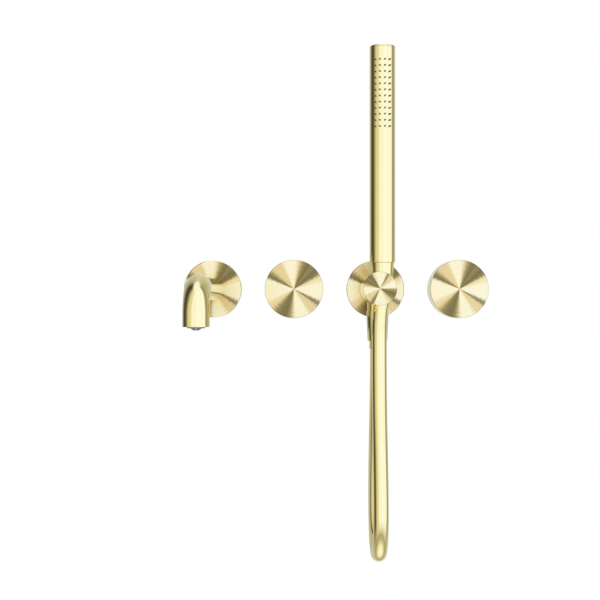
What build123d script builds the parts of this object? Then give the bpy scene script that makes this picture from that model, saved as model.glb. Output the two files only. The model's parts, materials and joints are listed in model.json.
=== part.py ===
"""Four-piece wall mounted bath faucet with a stick hand shower.

Units are millimetres. The origin is on the finished wall, in the middle of the row, at the
height of its axis. +X runs along the row to the right, -Y comes out of the wall into the
room and +Z is up. Everything at positive Y is inside the wall.
"""
from build123d import *
import os
from math import asin, cos, degrees, pi, radians, sin, tan

# ---------------------------------------------------------------- driving dimensions
PITCH = 85.0                 # between neighbouring stations of the row
SPOUT_X = -1.5 * PITCH
DIVERTER_X = -0.5 * PITCH
BRACKET_X = 0.5 * PITCH
MIXER_X = 1.5 * PITCH

ROSE_R = 30.0
ROSE_THICK = 9.0             # spout and bracket roses
VALVE_ROSE_THICK = 7.5
EDGE_CHAMFER = 0.5
GASKET_R = 28.0
GASKET_BORE = 24.0
GASKET_DEPTH = 3.0
ROSE_ORING_Y = -5.0

KNOB_R = 30.0
KNOB_FRONT = 30.0            # knob face to wall
KNOB_GAP = 0.5               # knob to its rose
KNOB_FACE_THICK = 5.0
KNOB_WALL = 3.5

SPOUT_R = 12.0
SPOUT_BORE = 10.0
SPOUT_REACH = 200.0
SPOUT_BEND = 26.0
SPOUT_DROP = 35.0

ARM_R = 16.75
ARM_FRONT = 79.5
OUTLET_DEPTH = 40.0          # hose outlet axis to wall
OUTLET_R = 10.5
OUTLET_BOTTOM = -22.4
SEAT_DEPTH = 66.0            # hand shower axis to wall
SEAT_SHIFT = 3.2             # hand shower axis to arm axis, towards the slot
SLOT_WIDTH = 16.6

THREAD_R = 10.48             # G 1/2 nominal radius
THREAD_FIT = 0.05
RUNNING_FIT = 0.06

NUT_TOP_R = 11.4
NUT_TAPER = 0.046            # radius lost per millimetre
WALL_NUT_LENGTH = 30.3
HAND_NUT_TOP = 25.9
HAND_NUT_LENGTH = 22.9
NUT_BORE = 6.9
FERRULE_R = 8.3
WALL_FERRULE_LENGTH = 8.3
HAND_FERRULE_LENGTH = 6.7
STEM_R = 6.82
HOSE_R = 7.5

HANDLE_R = 12.65
HANDLE_BORE = 11.15
HANDLE_BOTTOM = 26.0
HANDLE_TOP = 241.0
CAP_THICK = 1.7
NOZZLE_ROWS = 12
NOZZLE_PITCH = 6.0
NOZZLE_TOP = 226.0
NOZZLE_ANGLES = (-37.95, -15.45, 7.05, 29.55)

BODY_FRONT = 50.0            # concealed body, behind the wall
BODY_BACK = 92.0
BODY_HALF_HEIGHT = 22.0
BODY_LEFT = -152.0
BODY_RIGHT = 174.0
BOSS_FRONT = 14.0
BOSS_R = 20.0
POCKET_R = 12.6
POCKET_END = 62.5
INLET_OFFSET = 25.0          # each inlet to the mixer's axis
INLET_Y = 70.0
INLET_BOTTOM = -38.0
PLATE_THICK = 3.0
PLATE_HALF_LENGTH = 198.0
PLATE_HALF_HEIGHT = 32.0
PLATE_HOLE_X = 187.0
PLATE_HOLE_Z = 20.0
PLATE_HOLE_R = 3.3

# Hose route below the arm, as (depth from the wall, height, sideways shift from the arm axis).
HOSE_ROUTE = [
    (66.0, -4.0, SEAT_SHIFT),
    (66.0, -11.0, SEAT_SHIFT),
    (65.5, -25.0, 0.1),
    (64.5, -67.0, 0.0),
    (70.0, -126.0, 0.0),
    (88.5, -188.0, 0.0),
    (93.0, -231.0, 0.0),
    (76.0, -261.8, 0.0),
    (42.0, -269.4, 0.0),
    (14.5, -250.8, 0.0),
    (6.5, -206.0, 0.0),
    (20.0, -150.0, 0.0),
    (34.5, -104.0, 0.0),
    (40.0, -80.0, 0.0),
    (40.0, -61.0, 0.0),
]
ARC_SHARE = 0.45             # of the shorter run, taken by each bend's tangent


# ---------------------------------------------------------------- helpers
def bar_y(radius, y0, y1, x=0.0, z=0.0):
    """Return a round bar along Y."""
    return Pos(x, (y0 + y1) / 2, z) * Rot(90, 0, 0) * Cylinder(radius, abs(y1 - y0))


def bar_x(radius, x0, x1, y=0.0, z=0.0):
    """Return a round bar along X."""
    return Pos((x0 + x1) / 2, y, z) * Rot(0, 90, 0) * Cylinder(radius, abs(x1 - x0))


def bar_z(radius, z0, z1, x=0.0, y=0.0):
    """Return a round bar along Z."""
    return Pos(x, y, (z0 + z1) / 2) * Cylinder(radius, abs(z1 - z0))


def turned_y(outline, x=0.0, z=0.0):
    """Return the solid turned about Y from an outline of (radius, y) points."""
    face = make_face(Polyline(outline, close=True))
    return Pos(x, 0, z) * revolve(face, Axis.Y)


def turned_z(outline, x=0.0, y=0.0):
    """Return the solid turned about Z from an outline of (radius, z) points."""
    face = Plane.XZ * make_face(Polyline(outline, close=True))
    return Pos(x, y, 0) * revolve(face, Axis.Z)


def cone_z(bottom_r, top_r, z0, z1, x=0.0, y=0.0):
    """Return a cone frustum along Z from z0 up to z1."""
    return turned_z([(0, z0), (bottom_r, z0), (top_r, z1), (0, z1)], x, y)


def ring_y(major, minor, y, x=0.0):
    """Return an O-ring lying round the Y axis."""
    return Pos(x, y, 0) * Rot(90, 0, 0) * Torus(major, minor)


def save(name, *shapes):
    """Write one node, as one solid or as a group of separate solids."""
    solids = [solid for shape in shapes for solid in shape.solids()]
    node = solids[0] if len(solids) == 1 else Compound(solids)
    export_step(node, f"parts/{name}.step")


def nut_radius(drop):
    """Return a cone nut's outer radius at a distance below its top."""
    return NUT_TOP_R - NUT_TAPER * drop


# ---------------------------------------------------------------- inside the wall
def concealed_body():
    """Cast body: two inlets, the mixed-water way, and the ways to the spout and the hose."""
    width = BODY_RIGHT - BODY_LEFT
    depth = BODY_BACK - BODY_FRONT
    block = Pos((BODY_LEFT + BODY_RIGHT) / 2, (BODY_FRONT + BODY_BACK) / 2, 0)
    bar = Box(width, depth, 2 * BODY_HALF_HEIGHT)
    body = block * fillet(bar.edges().filter_by(Axis.X), 8)
    for x in (SPOUT_X, DIVERTER_X, BRACKET_X, MIXER_X):
        body += bar_y(BOSS_R, BOSS_FRONT, BODY_FRONT + 5, x)
    for x in (MIXER_X - INLET_OFFSET, MIXER_X + INLET_OFFSET):
        body += bar_z(16, INLET_BOTTOM, 0, x, INLET_Y)
    for x in (SPOUT_X, BRACKET_X):
        body -= bar_y(THREAD_R, BOSS_FRONT - 1, 34, x)
        body -= bar_y(7, 33, 72, x)
    for x in (DIVERTER_X, MIXER_X):
        body -= bar_y(15, BOSS_FRONT - 1, 30, x)
        body -= bar_y(POCKET_R, 29, POCKET_END, x)
        body -= bar_y(3, POCKET_END - 1, 80, x, 7)
        body -= bar_y(3, POCKET_END - 1, 70, x - 6, -5)
        body -= bar_y(3, POCKET_END - 1, 70, x + 6, -5)
    body -= bar_x(5, DIVERTER_X, MIXER_X, 80, 8)
    body -= bar_x(4.5, SPOUT_X, DIVERTER_X - 6, 69, -6)
    body -= bar_x(4.5, DIVERTER_X + 6, BRACKET_X, 69, -6)
    body -= bar_x(4.5, MIXER_X - INLET_OFFSET, MIXER_X - 6, 69, -6)
    body -= bar_x(4.5, MIXER_X + 6, MIXER_X + INLET_OFFSET, 69, -6)
    for x in (MIXER_X - INLET_OFFSET, MIXER_X + INLET_OFFSET):
        body -= bar_z(THREAD_R, INLET_BOTTOM - 1, INLET_BOTTOM + 16, x, INLET_Y)
        body -= bar_z(5, INLET_BOTTOM + 15, -5, x, INLET_Y)
    for x, z in screw_places():
        body -= bar_y(2.55, BODY_BACK - 12, BODY_BACK + 1, x, z)
    return body


def screw_places():
    """Return the (x, z) places of the screws that hold the body to its plate."""
    return [(x, z) for x in (BODY_LEFT + 12, BODY_RIGHT - 12) for z in (-12, 12)]


def mounting_plate():
    """Steel plate behind the body, with four fixing holes."""
    centre_y = BODY_BACK + PLATE_THICK / 2
    plate = Box(2 * PLATE_HALF_LENGTH, PLATE_THICK, 2 * PLATE_HALF_HEIGHT)
    plate = Pos(0, centre_y, 0) * fillet(plate.edges().filter_by(Axis.Y), 6)
    back = BODY_BACK + PLATE_THICK + 1
    for x in (-PLATE_HOLE_X, PLATE_HOLE_X):
        for z in (-PLATE_HOLE_Z, PLATE_HOLE_Z):
            plate -= bar_y(PLATE_HOLE_R, BODY_BACK - 1, back, x, z)
    for x, z in screw_places():
        plate -= bar_y(2.6, BODY_BACK - 1, back, x, z)
    return plate


def plate_screws():
    """Pan-head screws from the back of the plate into the body."""
    back = BODY_BACK + PLATE_THICK
    outline = [(0, 82), (2.5, 82), (2.5, back), (4.6, back), (4.2, back + 2.4), (0, back + 2.4)]
    screw = turned_y(outline)
    socket = Pos(0, back + 2, 0) * Rot(90, 0, 0) * extrude(RegularPolygon(1.5, 6), 1.4, both=True)
    screw -= socket
    return [Pos(x, 0, z) * screw for x, z in screw_places()]


# ---------------------------------------------------------------- roses and gaskets
def rose(x, bore, thick):
    """Solid turned rose with a chamfered front edge and a gasket groove at the back."""
    front = -thick
    outline = [
        (bore, 0),
        (GASKET_BORE - 0.1, 0),
        (GASKET_BORE - 0.1, -GASKET_DEPTH),
        (GASKET_R + 0.1, -GASKET_DEPTH),
        (GASKET_R + 0.1, 0),
        (ROSE_R, 0),
        (ROSE_R, front + EDGE_CHAMFER),
        (ROSE_R - EDGE_CHAMFER, front),
        (bore, front),
    ]
    return turned_y(outline, x)


def slip_rose(x, pipe_r):
    """Rose that slips over a pipe and is held by an O-ring in its bore."""
    groove_r = pipe_r + 1.35
    y0 = ROSE_ORING_Y - 0.9
    y1 = ROSE_ORING_Y + 0.9
    groove = turned_y([(pipe_r, y0), (groove_r, y0), (groove_r, y1), (pipe_r, y1)], x)
    return rose(x, pipe_r + 0.1, ROSE_THICK) - groove


def rose_oring(x, pipe_r):
    """O-ring that holds a slip-on rose against the wall."""
    return ring_y(pipe_r + 0.65, 0.62, ROSE_ORING_Y, x)


def gasket(x):
    """Soft ring between a rose and the tiles."""
    back = -GASKET_DEPTH
    return turned_y([(GASKET_BORE, 0), (GASKET_R, 0), (GASKET_R, back), (GASKET_BORE, back)], x)


# ---------------------------------------------------------------- nipples shared by spout and arm
def nipple(x, front):
    """Screwed nipple: thread in the body, collar, and a pipe with two O-ring grooves."""
    outline = [
        (5, 33),
        (THREAD_R - THREAD_FIT, 33),
        (THREAD_R - THREAD_FIT, BOSS_FRONT),
        (12.5, BOSS_FRONT),
        (12.5, BOSS_FRONT - 5),
        (7.5, BOSS_FRONT - 5),
        (7.5, front),
        (5, front),
    ]
    part = turned_y(outline, x)
    for y in oring_places(front):
        part -= turned_y([(6.3, y - 0.8), (8, y - 0.8), (8, y + 0.8), (6.3, y + 0.8)], x)
    return part


def oring_places(front):
    """Return the Y places of a nipple's two O-rings."""
    return (front + 4, front + 9)


def nipple_orings(x, front):
    """Two O-rings in a nipple's grooves."""
    return [ring_y(6.9, 0.6, y, x) for y in oring_places(front)]


# ---------------------------------------------------------------- valves
CARTRIDGE_BORE = 11.0
DISC_R = 10.7
SPINDLE_R = 4.55
SPINDLE_FRONT = -22.0
SCREW_Y = -17.0


def cartridge(x):
    """Brass shell of a ceramic valve, with its clamping flange and neck."""
    bore = SPINDLE_R + RUNNING_FIT
    outline = [
        (CARTRIDGE_BORE, 61),
        (12.5, 61),
        (12.5, 30),
        (14.8, 30),
        (14.8, 27),
        (9, 27),
        (9, -3),
        (bore, -3),
        (bore, 50),
        (CARTRIDGE_BORE, 50),
    ]
    return turned_y(outline, x)


def gland_nut(x):
    """Ring nut that clamps a cartridge in the body, with a hexagon for the spanner."""
    ring = turned_y([(9.1, 27), (14.95, 27), (14.95, 14), (9.1, 14)], x)
    head = Pos(x, 14, 0) * Rot(90, 0, 0) * extrude(RegularPolygon(18, 6), 5)
    return ring + (head - bar_y(9.1, 8, 15, x))


def base_seal(x):
    """Rubber seal under the fixed disc, with three ports."""
    seal = bar_y(12.3, 61, POCKET_END, x)
    return seal - ports(x, 60, 63)


def ports(x, y0, y1):
    """Return the three round water ways through a valve's seat."""
    ways = bar_y(2.6, y0, y1, x, 7)
    for side in (-1, 1):
        ways += bar_y(2.6, y0, y1, x + 6 * side, -5)
    return ways


def fixed_disc(x):
    """Ceramic disc that stays still, with three ports."""
    return bar_y(10.9, 57.2, 61, x) - ports(x, 56, 62)


def moving_disc(x):
    """Ceramic disc that turns, with a blind channel facing the ports."""
    disc = bar_y(DISC_R, 53.6, 57.1, x)
    channel = bar_y(2.4, 55.2, 58, x, 7) + bar_y(2.4, 55.2, 58, x - 6, -5)
    link = Pos(x - 3, 56.6, 1) * Rot(0, degrees(asin(6 / 13.4)), 0) * Box(4.8, 2.8, 13.4)
    return disc - channel - (link & bar_y(9, 55.2, 58, x))


def spindle(x):
    """Spindle that drives the moving disc, with O-ring grooves and a flat for the grub screw."""
    outline = [
        (0, 53.6),
        (DISC_R, 53.6),
        (DISC_R, 50.4),
        (SPINDLE_R, 50.4),
        (SPINDLE_R, SPINDLE_FRONT),
        (0, SPINDLE_FRONT),
    ]
    part = turned_y(outline, x)
    for y in (20, 25):
        part -= turned_y([(3.4, y - 0.8), (5, y - 0.8), (5, y + 0.8), (3.4, y + 0.8)], x)
    part -= Pos(x, SCREW_Y, -SPINDLE_R) * Box(6, 7, 1.2)
    return part


def spindle_orings(x):
    """Two O-rings in a spindle's grooves."""
    return [ring_y(3.98, 0.57, y, x) for y in (20, 25)]


def knob(x):
    """Disc knob: a turned cup with a splined hub and a keyhole underneath."""
    front = -KNOB_FRONT
    back = -(VALVE_ROSE_THICK + KNOB_GAP)
    face_back = front + KNOB_FACE_THICK
    inner = KNOB_R - KNOB_WALL
    outline = [
        (0, front),
        (KNOB_R - 0.3, front),
        (KNOB_R, front + 0.3),
        (KNOB_R, back - 0.3),
        (KNOB_R - 0.3, back),
        (inner, back),
        (inner, face_back),
        (9, face_back),
        (9, back - 1),
        (SPINDLE_R + 0.05, back - 1),
        (SPINDLE_R + 0.05, SPINDLE_FRONT - 0.5),
        (0, SPINDLE_FRONT - 0.5),
    ]
    part = turned_y(outline, x)
    part -= bar_z(2.55, -10, -3, x, SCREW_Y)
    part -= bar_z(3, -KNOB_R - 1, -KNOB_R + KNOB_WALL + 1, x, SCREW_Y)
    return part


def knob_screw(x):
    """Socket grub screw that grips the spindle's flat."""
    screw = bar_z(2.5, -9, -4.05, x, SCREW_Y)
    socket = Pos(x, SCREW_Y, -9) * extrude(RegularPolygon(1.4, 6), 2.2)
    return screw - socket


def save_valve(name, x):
    """Write every piece of one valve station."""
    save(f"{name}_rose", rose(x, 9.05, VALVE_ROSE_THICK))
    save(f"{name}_cartridge", cartridge(x))
    save(f"{name}_gland_nut", gland_nut(x))
    save(f"{name}_base_seal", base_seal(x))
    save(f"{name}_fixed_disc", fixed_disc(x))
    save(f"{name}_moving_disc", moving_disc(x))
    save(f"{name}_spindle", spindle(x))
    save(f"{name}_spindle_orings", *spindle_orings(x))
    save(f"{name}_knob", knob(x))
    save(f"{name}_knob_screw", knob_screw(x))


# ---------------------------------------------------------------- spout
SPOUT_SCREW_Y = -14.0
SPOUT_NIPPLE_FRONT = -24.0


def spout_path():
    """Return the spout's centre line, from the wall out and down."""
    corner = (SPOUT_X, -SPOUT_REACH, 0)
    end = (SPOUT_X, -SPOUT_REACH, -SPOUT_DROP)
    return FilletPolyline((SPOUT_X, 0, 0), corner, end, radius=SPOUT_BEND)


def spout_tube():
    """Bent tube, open at both ends, with the grub screw's hole underneath."""
    start = Plane((SPOUT_X, 0, 0), x_dir=(1, 0, 0), z_dir=(0, -1, 0))
    outer = sweep(start * Circle(SPOUT_R), path=spout_path())
    inner = sweep(start * Circle(SPOUT_BORE), path=spout_path())
    return outer - inner - bar_z(2.05, -13, -7, SPOUT_X, SPOUT_SCREW_Y)


def spout_adapter():
    """Brass sleeve brazed into the tube, which slides over the nipple."""
    sleeve = bar_y(SPOUT_BORE - 0.02, -28, -1, SPOUT_X) - bar_y(7.55, -29, 0, SPOUT_X)
    return sleeve - bar_z(2.05, -13, -7, SPOUT_X, SPOUT_SCREW_Y)


def grub_screw(x, y, top, bottom):
    """Small socket grub screw pointing up."""
    screw = bar_z(2, bottom, top, x, y)
    socket = Pos(x, y, bottom) * extrude(RegularPolygon(1.15, 6), 1.8)
    return screw - socket


def aerator_housing():
    """Screwed ring in the spout's mouth, with the lip that shows below it."""
    outline = [
        (8.2, -24),
        (9.9, -24),
        (9.9, -34.6),
        (7.9, -34.6),
        (7.9, -35.7),
        (7.5, -36.1),
        (5.0, -36.1),
        (5.0, -33.5),
        (8.2, -33.5),
    ]
    return turned_z(outline, SPOUT_X, -SPOUT_REACH)


def aerator_insert():
    """Jet core that shows in the middle of the mouth: fine outlets and a slot for the key."""
    outline = [
        (0, -29.5),
        (8.1, -29.5),
        (8.1, -33.3),
        (4.9, -33.3),
        (4.9, -36.3),
        (1.8, -38.2),
        (0, -38.2),
    ]
    core = turned_z(outline, SPOUT_X, -SPOUT_REACH)
    core -= Pos(SPOUT_X, -SPOUT_REACH, -38.2) * Box(1.5, 12, 3.0)
    for step in range(8):
        angle = radians(45 * step)
        x = SPOUT_X + 3.0 * cos(angle)
        y = -SPOUT_REACH + 3.0 * sin(angle)
        core -= bar_z(0.5, -39, -29, x, y)
    return core


def aerator_diffuser():
    """Perforated disc above the jet core."""
    disc = bar_z(8.1, -29.3, -27.5, SPOUT_X, -SPOUT_REACH)
    for step in range(12):
        angle = radians(30 * step)
        x = SPOUT_X + 5.6 * cos(angle)
        y = -SPOUT_REACH + 5.6 * sin(angle)
        disc -= bar_z(0.7, -30, -27, x, y)
    return disc


def aerator_seal():
    """Flat rubber ring above the aerator."""
    outline = [(7.4, -22.4), (9.8, -22.4), (9.8, -24), (7.4, -24)]
    return turned_z(outline, SPOUT_X, -SPOUT_REACH)


def save_spout():
    """Write every piece of the spout station."""
    save("spout_rose", slip_rose(SPOUT_X, SPOUT_R))
    save("spout_rose_oring", rose_oring(SPOUT_X, SPOUT_R))
    save("spout_nipple", nipple(SPOUT_X, SPOUT_NIPPLE_FRONT))
    save("spout_nipple_orings", *nipple_orings(SPOUT_X, SPOUT_NIPPLE_FRONT))
    save("spout_tube", spout_tube())
    save("spout_adapter", spout_adapter())
    save("spout_grub_screw", grub_screw(SPOUT_X, SPOUT_SCREW_Y, -7.6, -11.7))
    save("aerator_housing", aerator_housing())
    save("aerator_insert", aerator_insert())
    save("aerator_diffuser", aerator_diffuser())
    save("aerator_seal", aerator_seal())


# ---------------------------------------------------------------- bracket
ARM_NIPPLE_FRONT = -23.0
ARM_SCREW_Y = -15.0
SEAT_X = BRACKET_X + SEAT_SHIFT
SEAT_Y = -SEAT_DEPTH
SEAT_BOTTOM = 3.0
LINER_TOP = 15.5
LINER_WALL = 0.9
VALVE_BORE = 7.6


def seat_radius(z):
    """Return the cone nut's radius at a height, as it stands in the seat."""
    return nut_radius(HAND_NUT_TOP - z)


def hose_slot(margin=0.0):
    """Space through which the hose enters the seat from the side."""
    length = 30.0
    width = SLOT_WIDTH + 2 * margin
    return Pos(SEAT_X + length / 2, SEAT_Y, 0) * Box(length, width, 60)


def bracket_arm():
    """Round arm with its waterway, the hose outlet under it and the open conical seat."""
    outline = [
        (0, 0),
        (ARM_R, 0),
        (ARM_R, -ARM_FRONT + 0.4),
        (ARM_R - 0.4, -ARM_FRONT),
        (0, -ARM_FRONT),
    ]
    arm = turned_y(outline, BRACKET_X)
    arm += bar_z(OUTLET_R, OUTLET_BOTTOM, -5, BRACKET_X, -OUTLET_DEPTH)
    thread_end = OUTLET_BOTTOM - 12
    arm += bar_z(THREAD_R - THREAD_FIT, thread_end, OUTLET_BOTTOM, BRACKET_X, -OUTLET_DEPTH)
    arm -= bar_y(7.55, -ARM_R * 1.45, 1, BRACKET_X)
    arm -= bar_y(6, -OUTLET_DEPTH, -20, BRACKET_X)
    arm -= bar_z(VALVE_BORE, thread_end - 1, 0, BRACKET_X, -OUTLET_DEPTH)
    arm -= bar_z(2.05, -20, -6, BRACKET_X, ARM_SCREW_Y)
    clear = LINER_WALL + RUNNING_FIT
    arm -= cone_z(seat_radius(SEAT_BOTTOM) + clear, seat_radius(20) + clear, SEAT_BOTTOM, 20, SEAT_X, SEAT_Y)
    arm -= bar_z(10.4, -20, SEAT_BOTTOM, SEAT_X, SEAT_Y)
    return arm - hose_slot(LINER_WALL)


def seat_liner():
    """Plastic liner of the conical seat, open to the slot and flush with the arm's round side."""
    bottom = seat_radius(SEAT_BOTTOM) + RUNNING_FIT
    top = seat_radius(LINER_TOP) + RUNNING_FIT
    shell = cone_z(bottom + LINER_WALL, top + LINER_WALL, SEAT_BOTTOM, LINER_TOP, SEAT_X, SEAT_Y)
    shell -= cone_z(bottom, top, SEAT_BOTTOM, LINER_TOP, SEAT_X, SEAT_Y)
    shell &= bar_y(ARM_R - 0.15, -ARM_FRONT, -ARM_FRONT / 2, BRACKET_X)
    return shell - hose_slot()


def check_valve_body():
    """Cage of the check valve: seat at the top, guide at the bottom."""
    outline = [
        (3.6, -14),
        (7.5, -14),
        (7.5, -34),
        (1.56, -34),
        (1.56, -30.5),
        (6.2, -30.5),
        (6.2, -17),
        (3.6, -17),
    ]
    cage = turned_z(outline, BRACKET_X, -OUTLET_DEPTH)
    for step in range(4):
        angle = radians(90 * step)
        x = BRACKET_X + 3.9 * cos(angle)
        y = -OUTLET_DEPTH + 3.9 * sin(angle)
        cage -= bar_z(1.5, -35, -30, x, y)
    return cage


def check_valve_poppet():
    """Poppet with its stem, closed against the seat."""
    outline = [(0, -17.3), (5, -17.3), (5.4, -18), (5.4, -19.3), (1.5, -19.3), (1.5, -32), (0, -32)]
    return turned_z(outline, BRACKET_X, -OUTLET_DEPTH)


def check_valve_spring():
    """Compression spring between the poppet and the cage's guide."""
    wire = 0.4
    radius = 2.4
    low = -30.5 + wire + 0.05
    high = -19.3 - wire - 0.05
    height = high - low
    coil = Helix(pitch=height / 5, height=height, radius=radius)
    section = Plane(coil @ 0, z_dir=coil % 0) * Circle(wire)
    return Pos(BRACKET_X, -OUTLET_DEPTH, low) * sweep(section, path=coil, is_frenet=True)


def save_bracket():
    """Write every fixed piece of the bracket and its check valve."""
    save("bracket_rose", slip_rose(BRACKET_X, ARM_R))
    save("bracket_rose_oring", rose_oring(BRACKET_X, ARM_R))
    save("bracket_nipple", nipple(BRACKET_X, ARM_NIPPLE_FRONT))
    save("bracket_nipple_orings", *nipple_orings(BRACKET_X, ARM_NIPPLE_FRONT))
    save("bracket_arm", bracket_arm())
    save("bracket_grub_screw", grub_screw(BRACKET_X, ARM_SCREW_Y, -7.6, -14.5))
    save("seat_liner", seat_liner())
    save("check_valve_body", check_valve_body())
    save("check_valve_poppet", check_valve_poppet())
    save("check_valve_spring", check_valve_spring())


# ---------------------------------------------------------------- hose and its ends
def cone_nut(top, length, thread_length, chamber_r, chamber_depth, x, y):
    """Conical swivel nut: thread, chamber for the stem's flange, and a smooth bore below."""
    bottom = top - length
    shell = cone_z(nut_radius(length), NUT_TOP_R, bottom, top, x, y)
    shell -= bar_z(THREAD_R, top - thread_length, top + 1, x, y)
    shell -= bar_z(chamber_r, top - thread_length - chamber_depth, top, x, y)
    return shell - bar_z(NUT_BORE, bottom - 1, top, x, y)


def flat_washer(top, thick, radius, x, y):
    """Flat rubber washer."""
    return bar_z(radius, top - thick, top, x, y) - bar_z(5, top - thick - 1, top + 1, x, y)


def hose_stem(flange_top, flange_r, bottom, x, y):
    """Flanged brass stem that joins the hose to its nut."""
    stem = bar_z(flange_r, flange_top - 2.8, flange_top, x, y)
    stem += bar_z(STEM_R, bottom, flange_top - 1, x, y)
    return stem - bar_z(4.5, bottom - 1, flange_top + 1, x, y)


def ferrule(top, bottom, x, y):
    """Pressed sleeve at the end of the hose."""
    outline = [
        (STEM_R + 0.06, top),
        (FERRULE_R - 0.3, top),
        (FERRULE_R, top - 0.3),
        (FERRULE_R, bottom + 0.3),
        (FERRULE_R - 0.3, bottom),
        (STEM_R + 0.06, bottom),
    ]
    return turned_z(outline, x, y)


def route_points():
    """Return the hose's route as points in space."""
    return [Vector(BRACKET_X + shift, -depth, z) for depth, z, shift in HOSE_ROUTE]


def bend_radii(points):
    """Return each bend's radius, as large as its two runs allow."""
    radii = []
    for before, here, after in zip(points, points[1:], points[2:]):
        arriving = here - before
        leaving = after - here
        turn = radians(arriving.get_angle(leaving))
        shorter = min(arriving.length, leaving.length)
        radii.append(ARC_SHARE * shorter / tan(turn / 2))
    return radii


def shower_hose():
    """Smooth hose that hangs in a loop from the hand shower to the outlet."""
    points = route_points()
    radii = bend_radii(points)
    path = FilletPolyline(*points, radius=radii)
    section = Plane(path @ 0, z_dir=path % 0) * Circle(HOSE_R)
    hose = sweep(section, path=path)
    expected = path.length * pi * HOSE_R ** 2
    print("hose length", round(path.length, 1), "volume ratio", round(hose.volume / expected, 4))
    print("hose bend radii", [round(radius) for radius in radii])
    return hose


def save_hose():
    """Write the hose with the nut, washer, stem and ferrule at each end."""
    wall = (BRACKET_X, -OUTLET_DEPTH)
    nut_top = OUTLET_BOTTOM
    nut_bottom = nut_top - WALL_NUT_LENGTH
    save("wall_hose_nut", cone_nut(nut_top, WALL_NUT_LENGTH, 12.1, 9.1, 6, *wall))
    save("wall_hose_washer", flat_washer(nut_top - 12.1, 2, 9.0, *wall))
    save("wall_hose_stem", hose_stem(nut_top - 14.2, 9.0, nut_bottom - WALL_FERRULE_LENGTH, *wall))
    save("wall_hose_ferrule", ferrule(nut_bottom, nut_bottom - WALL_FERRULE_LENGTH, *wall))
    save("shower_hose", shower_hose())
    hand = (SEAT_X, SEAT_Y)
    hand_bottom = HAND_NUT_TOP - HAND_NUT_LENGTH
    ferrule_top = hand_bottom - 0.3
    ferrule_bottom = ferrule_top - HAND_FERRULE_LENGTH
    save("hand_hose_nut", cone_nut(HAND_NUT_TOP, HAND_NUT_LENGTH, 10.3, 9.1, 5.5, *hand))
    save("hand_hose_washer", flat_washer(HAND_NUT_TOP - 10.3, 2, 9.0, *hand))
    save("hand_hose_stem", hose_stem(HAND_NUT_TOP - 12.4, 9.03, ferrule_bottom, *hand))
    save("hand_hose_ferrule", ferrule(ferrule_top, ferrule_bottom, *hand))


# ---------------------------------------------------------------- hand shower
STRIP_INNER = 9.3
STRIP_HALF_ANGLE = 48.0
NOZZLE_HOLE_R = 0.9
NOZZLE_TIP_R = 0.8
NOZZLE_TIP_REACH = HANDLE_R + 1.8
NOZZLE_JET_R = 0.35
CONNECTOR_ORING_Z = 32.0
CAP_ORING_Z = 236.5


def nozzle_places():
    """Return the (angle, height) of each nozzle, the angle being from the front."""
    heights = [NOZZLE_TOP - NOZZLE_PITCH * row for row in range(NOZZLE_ROWS)]
    return [(angle, z) for angle in NOZZLE_ANGLES for z in heights]


def radial_bars(radius, inner, outer):
    """Return a bar pointing out of the handle's front at every nozzle's place."""
    bar = Pos(0, -(inner + outer) / 2, 0) * Rot(90, 0, 0) * Cylinder(radius, outer - inner)
    return [Pos(SEAT_X, SEAT_Y, z) * Rot(0, 0, angle) * bar for angle, z in nozzle_places()]


def handle_tube():
    """Outer tube of the hand shower, drilled for its nozzles."""
    tube = bar_z(HANDLE_R, HANDLE_BOTTOM, HANDLE_TOP - CAP_THICK - 0.05, SEAT_X, SEAT_Y)
    tube -= bar_z(HANDLE_BORE, HANDLE_BOTTOM - 1, HANDLE_TOP, SEAT_X, SEAT_Y)
    return tube - radial_bars(NOZZLE_HOLE_R, HANDLE_BORE - 1, HANDLE_R + 1)


def nozzle_strip():
    """Curved silicone strip behind the tube's front, with a soft tip in every hole."""
    low = NOZZLE_TOP - NOZZLE_PITCH * (NOZZLE_ROWS - 1) - 6
    high = NOZZLE_TOP + 6
    strip = bar_z(HANDLE_BORE - 0.05, low, high, SEAT_X, SEAT_Y)
    strip -= bar_z(STRIP_INNER, low - 1, high + 1, SEAT_X, SEAT_Y)
    reach = 30.0
    side = reach * tan(radians(STRIP_HALF_ANGLE))
    wedge = make_face(Polyline((0, 0), (side, -reach), (-side, -reach), close=True))
    strip &= Pos(SEAT_X, SEAT_Y, low) * extrude(wedge, high - low)
    strip += radial_bars(NOZZLE_TIP_R, STRIP_INNER + 0.5, NOZZLE_TIP_REACH)
    return strip - radial_bars(NOZZLE_JET_R, STRIP_INNER - 1, NOZZLE_TIP_REACH + 1)


def handle_waterway():
    """Plastic inner tube that feeds the nozzle strip."""
    outer = STRIP_INNER - 0.05
    tube = bar_z(outer, 38.2, 233.0, SEAT_X, SEAT_Y)
    tube -= bar_z(outer - 1.6, 37, 231.0, SEAT_X, SEAT_Y)
    return tube - radial_bars(0.8, outer - 3, outer + 1)


def plug_groove(z):
    """Groove for an O-ring round a plug in the handle tube."""
    outline = [(9.9, z - 0.8), (12, z - 0.8), (12, z + 0.8), (9.9, z + 0.8)]
    return turned_z(outline, SEAT_X, SEAT_Y)


def handle_connector():
    """Brass plug in the tube's foot, with the thread that the hose's nut takes."""
    outline = [
        (5.5, 38),
        (HANDLE_BORE - 0.03, 38),
        (HANDLE_BORE - 0.03, HANDLE_BOTTOM),
        (THREAD_R - THREAD_FIT, HANDLE_BOTTOM),
        (THREAD_R - THREAD_FIT, HANDLE_BOTTOM - 10),
        (5.5, HANDLE_BOTTOM - 10),
    ]
    return turned_z(outline, SEAT_X, SEAT_Y) - plug_groove(CONNECTOR_ORING_Z)


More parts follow.
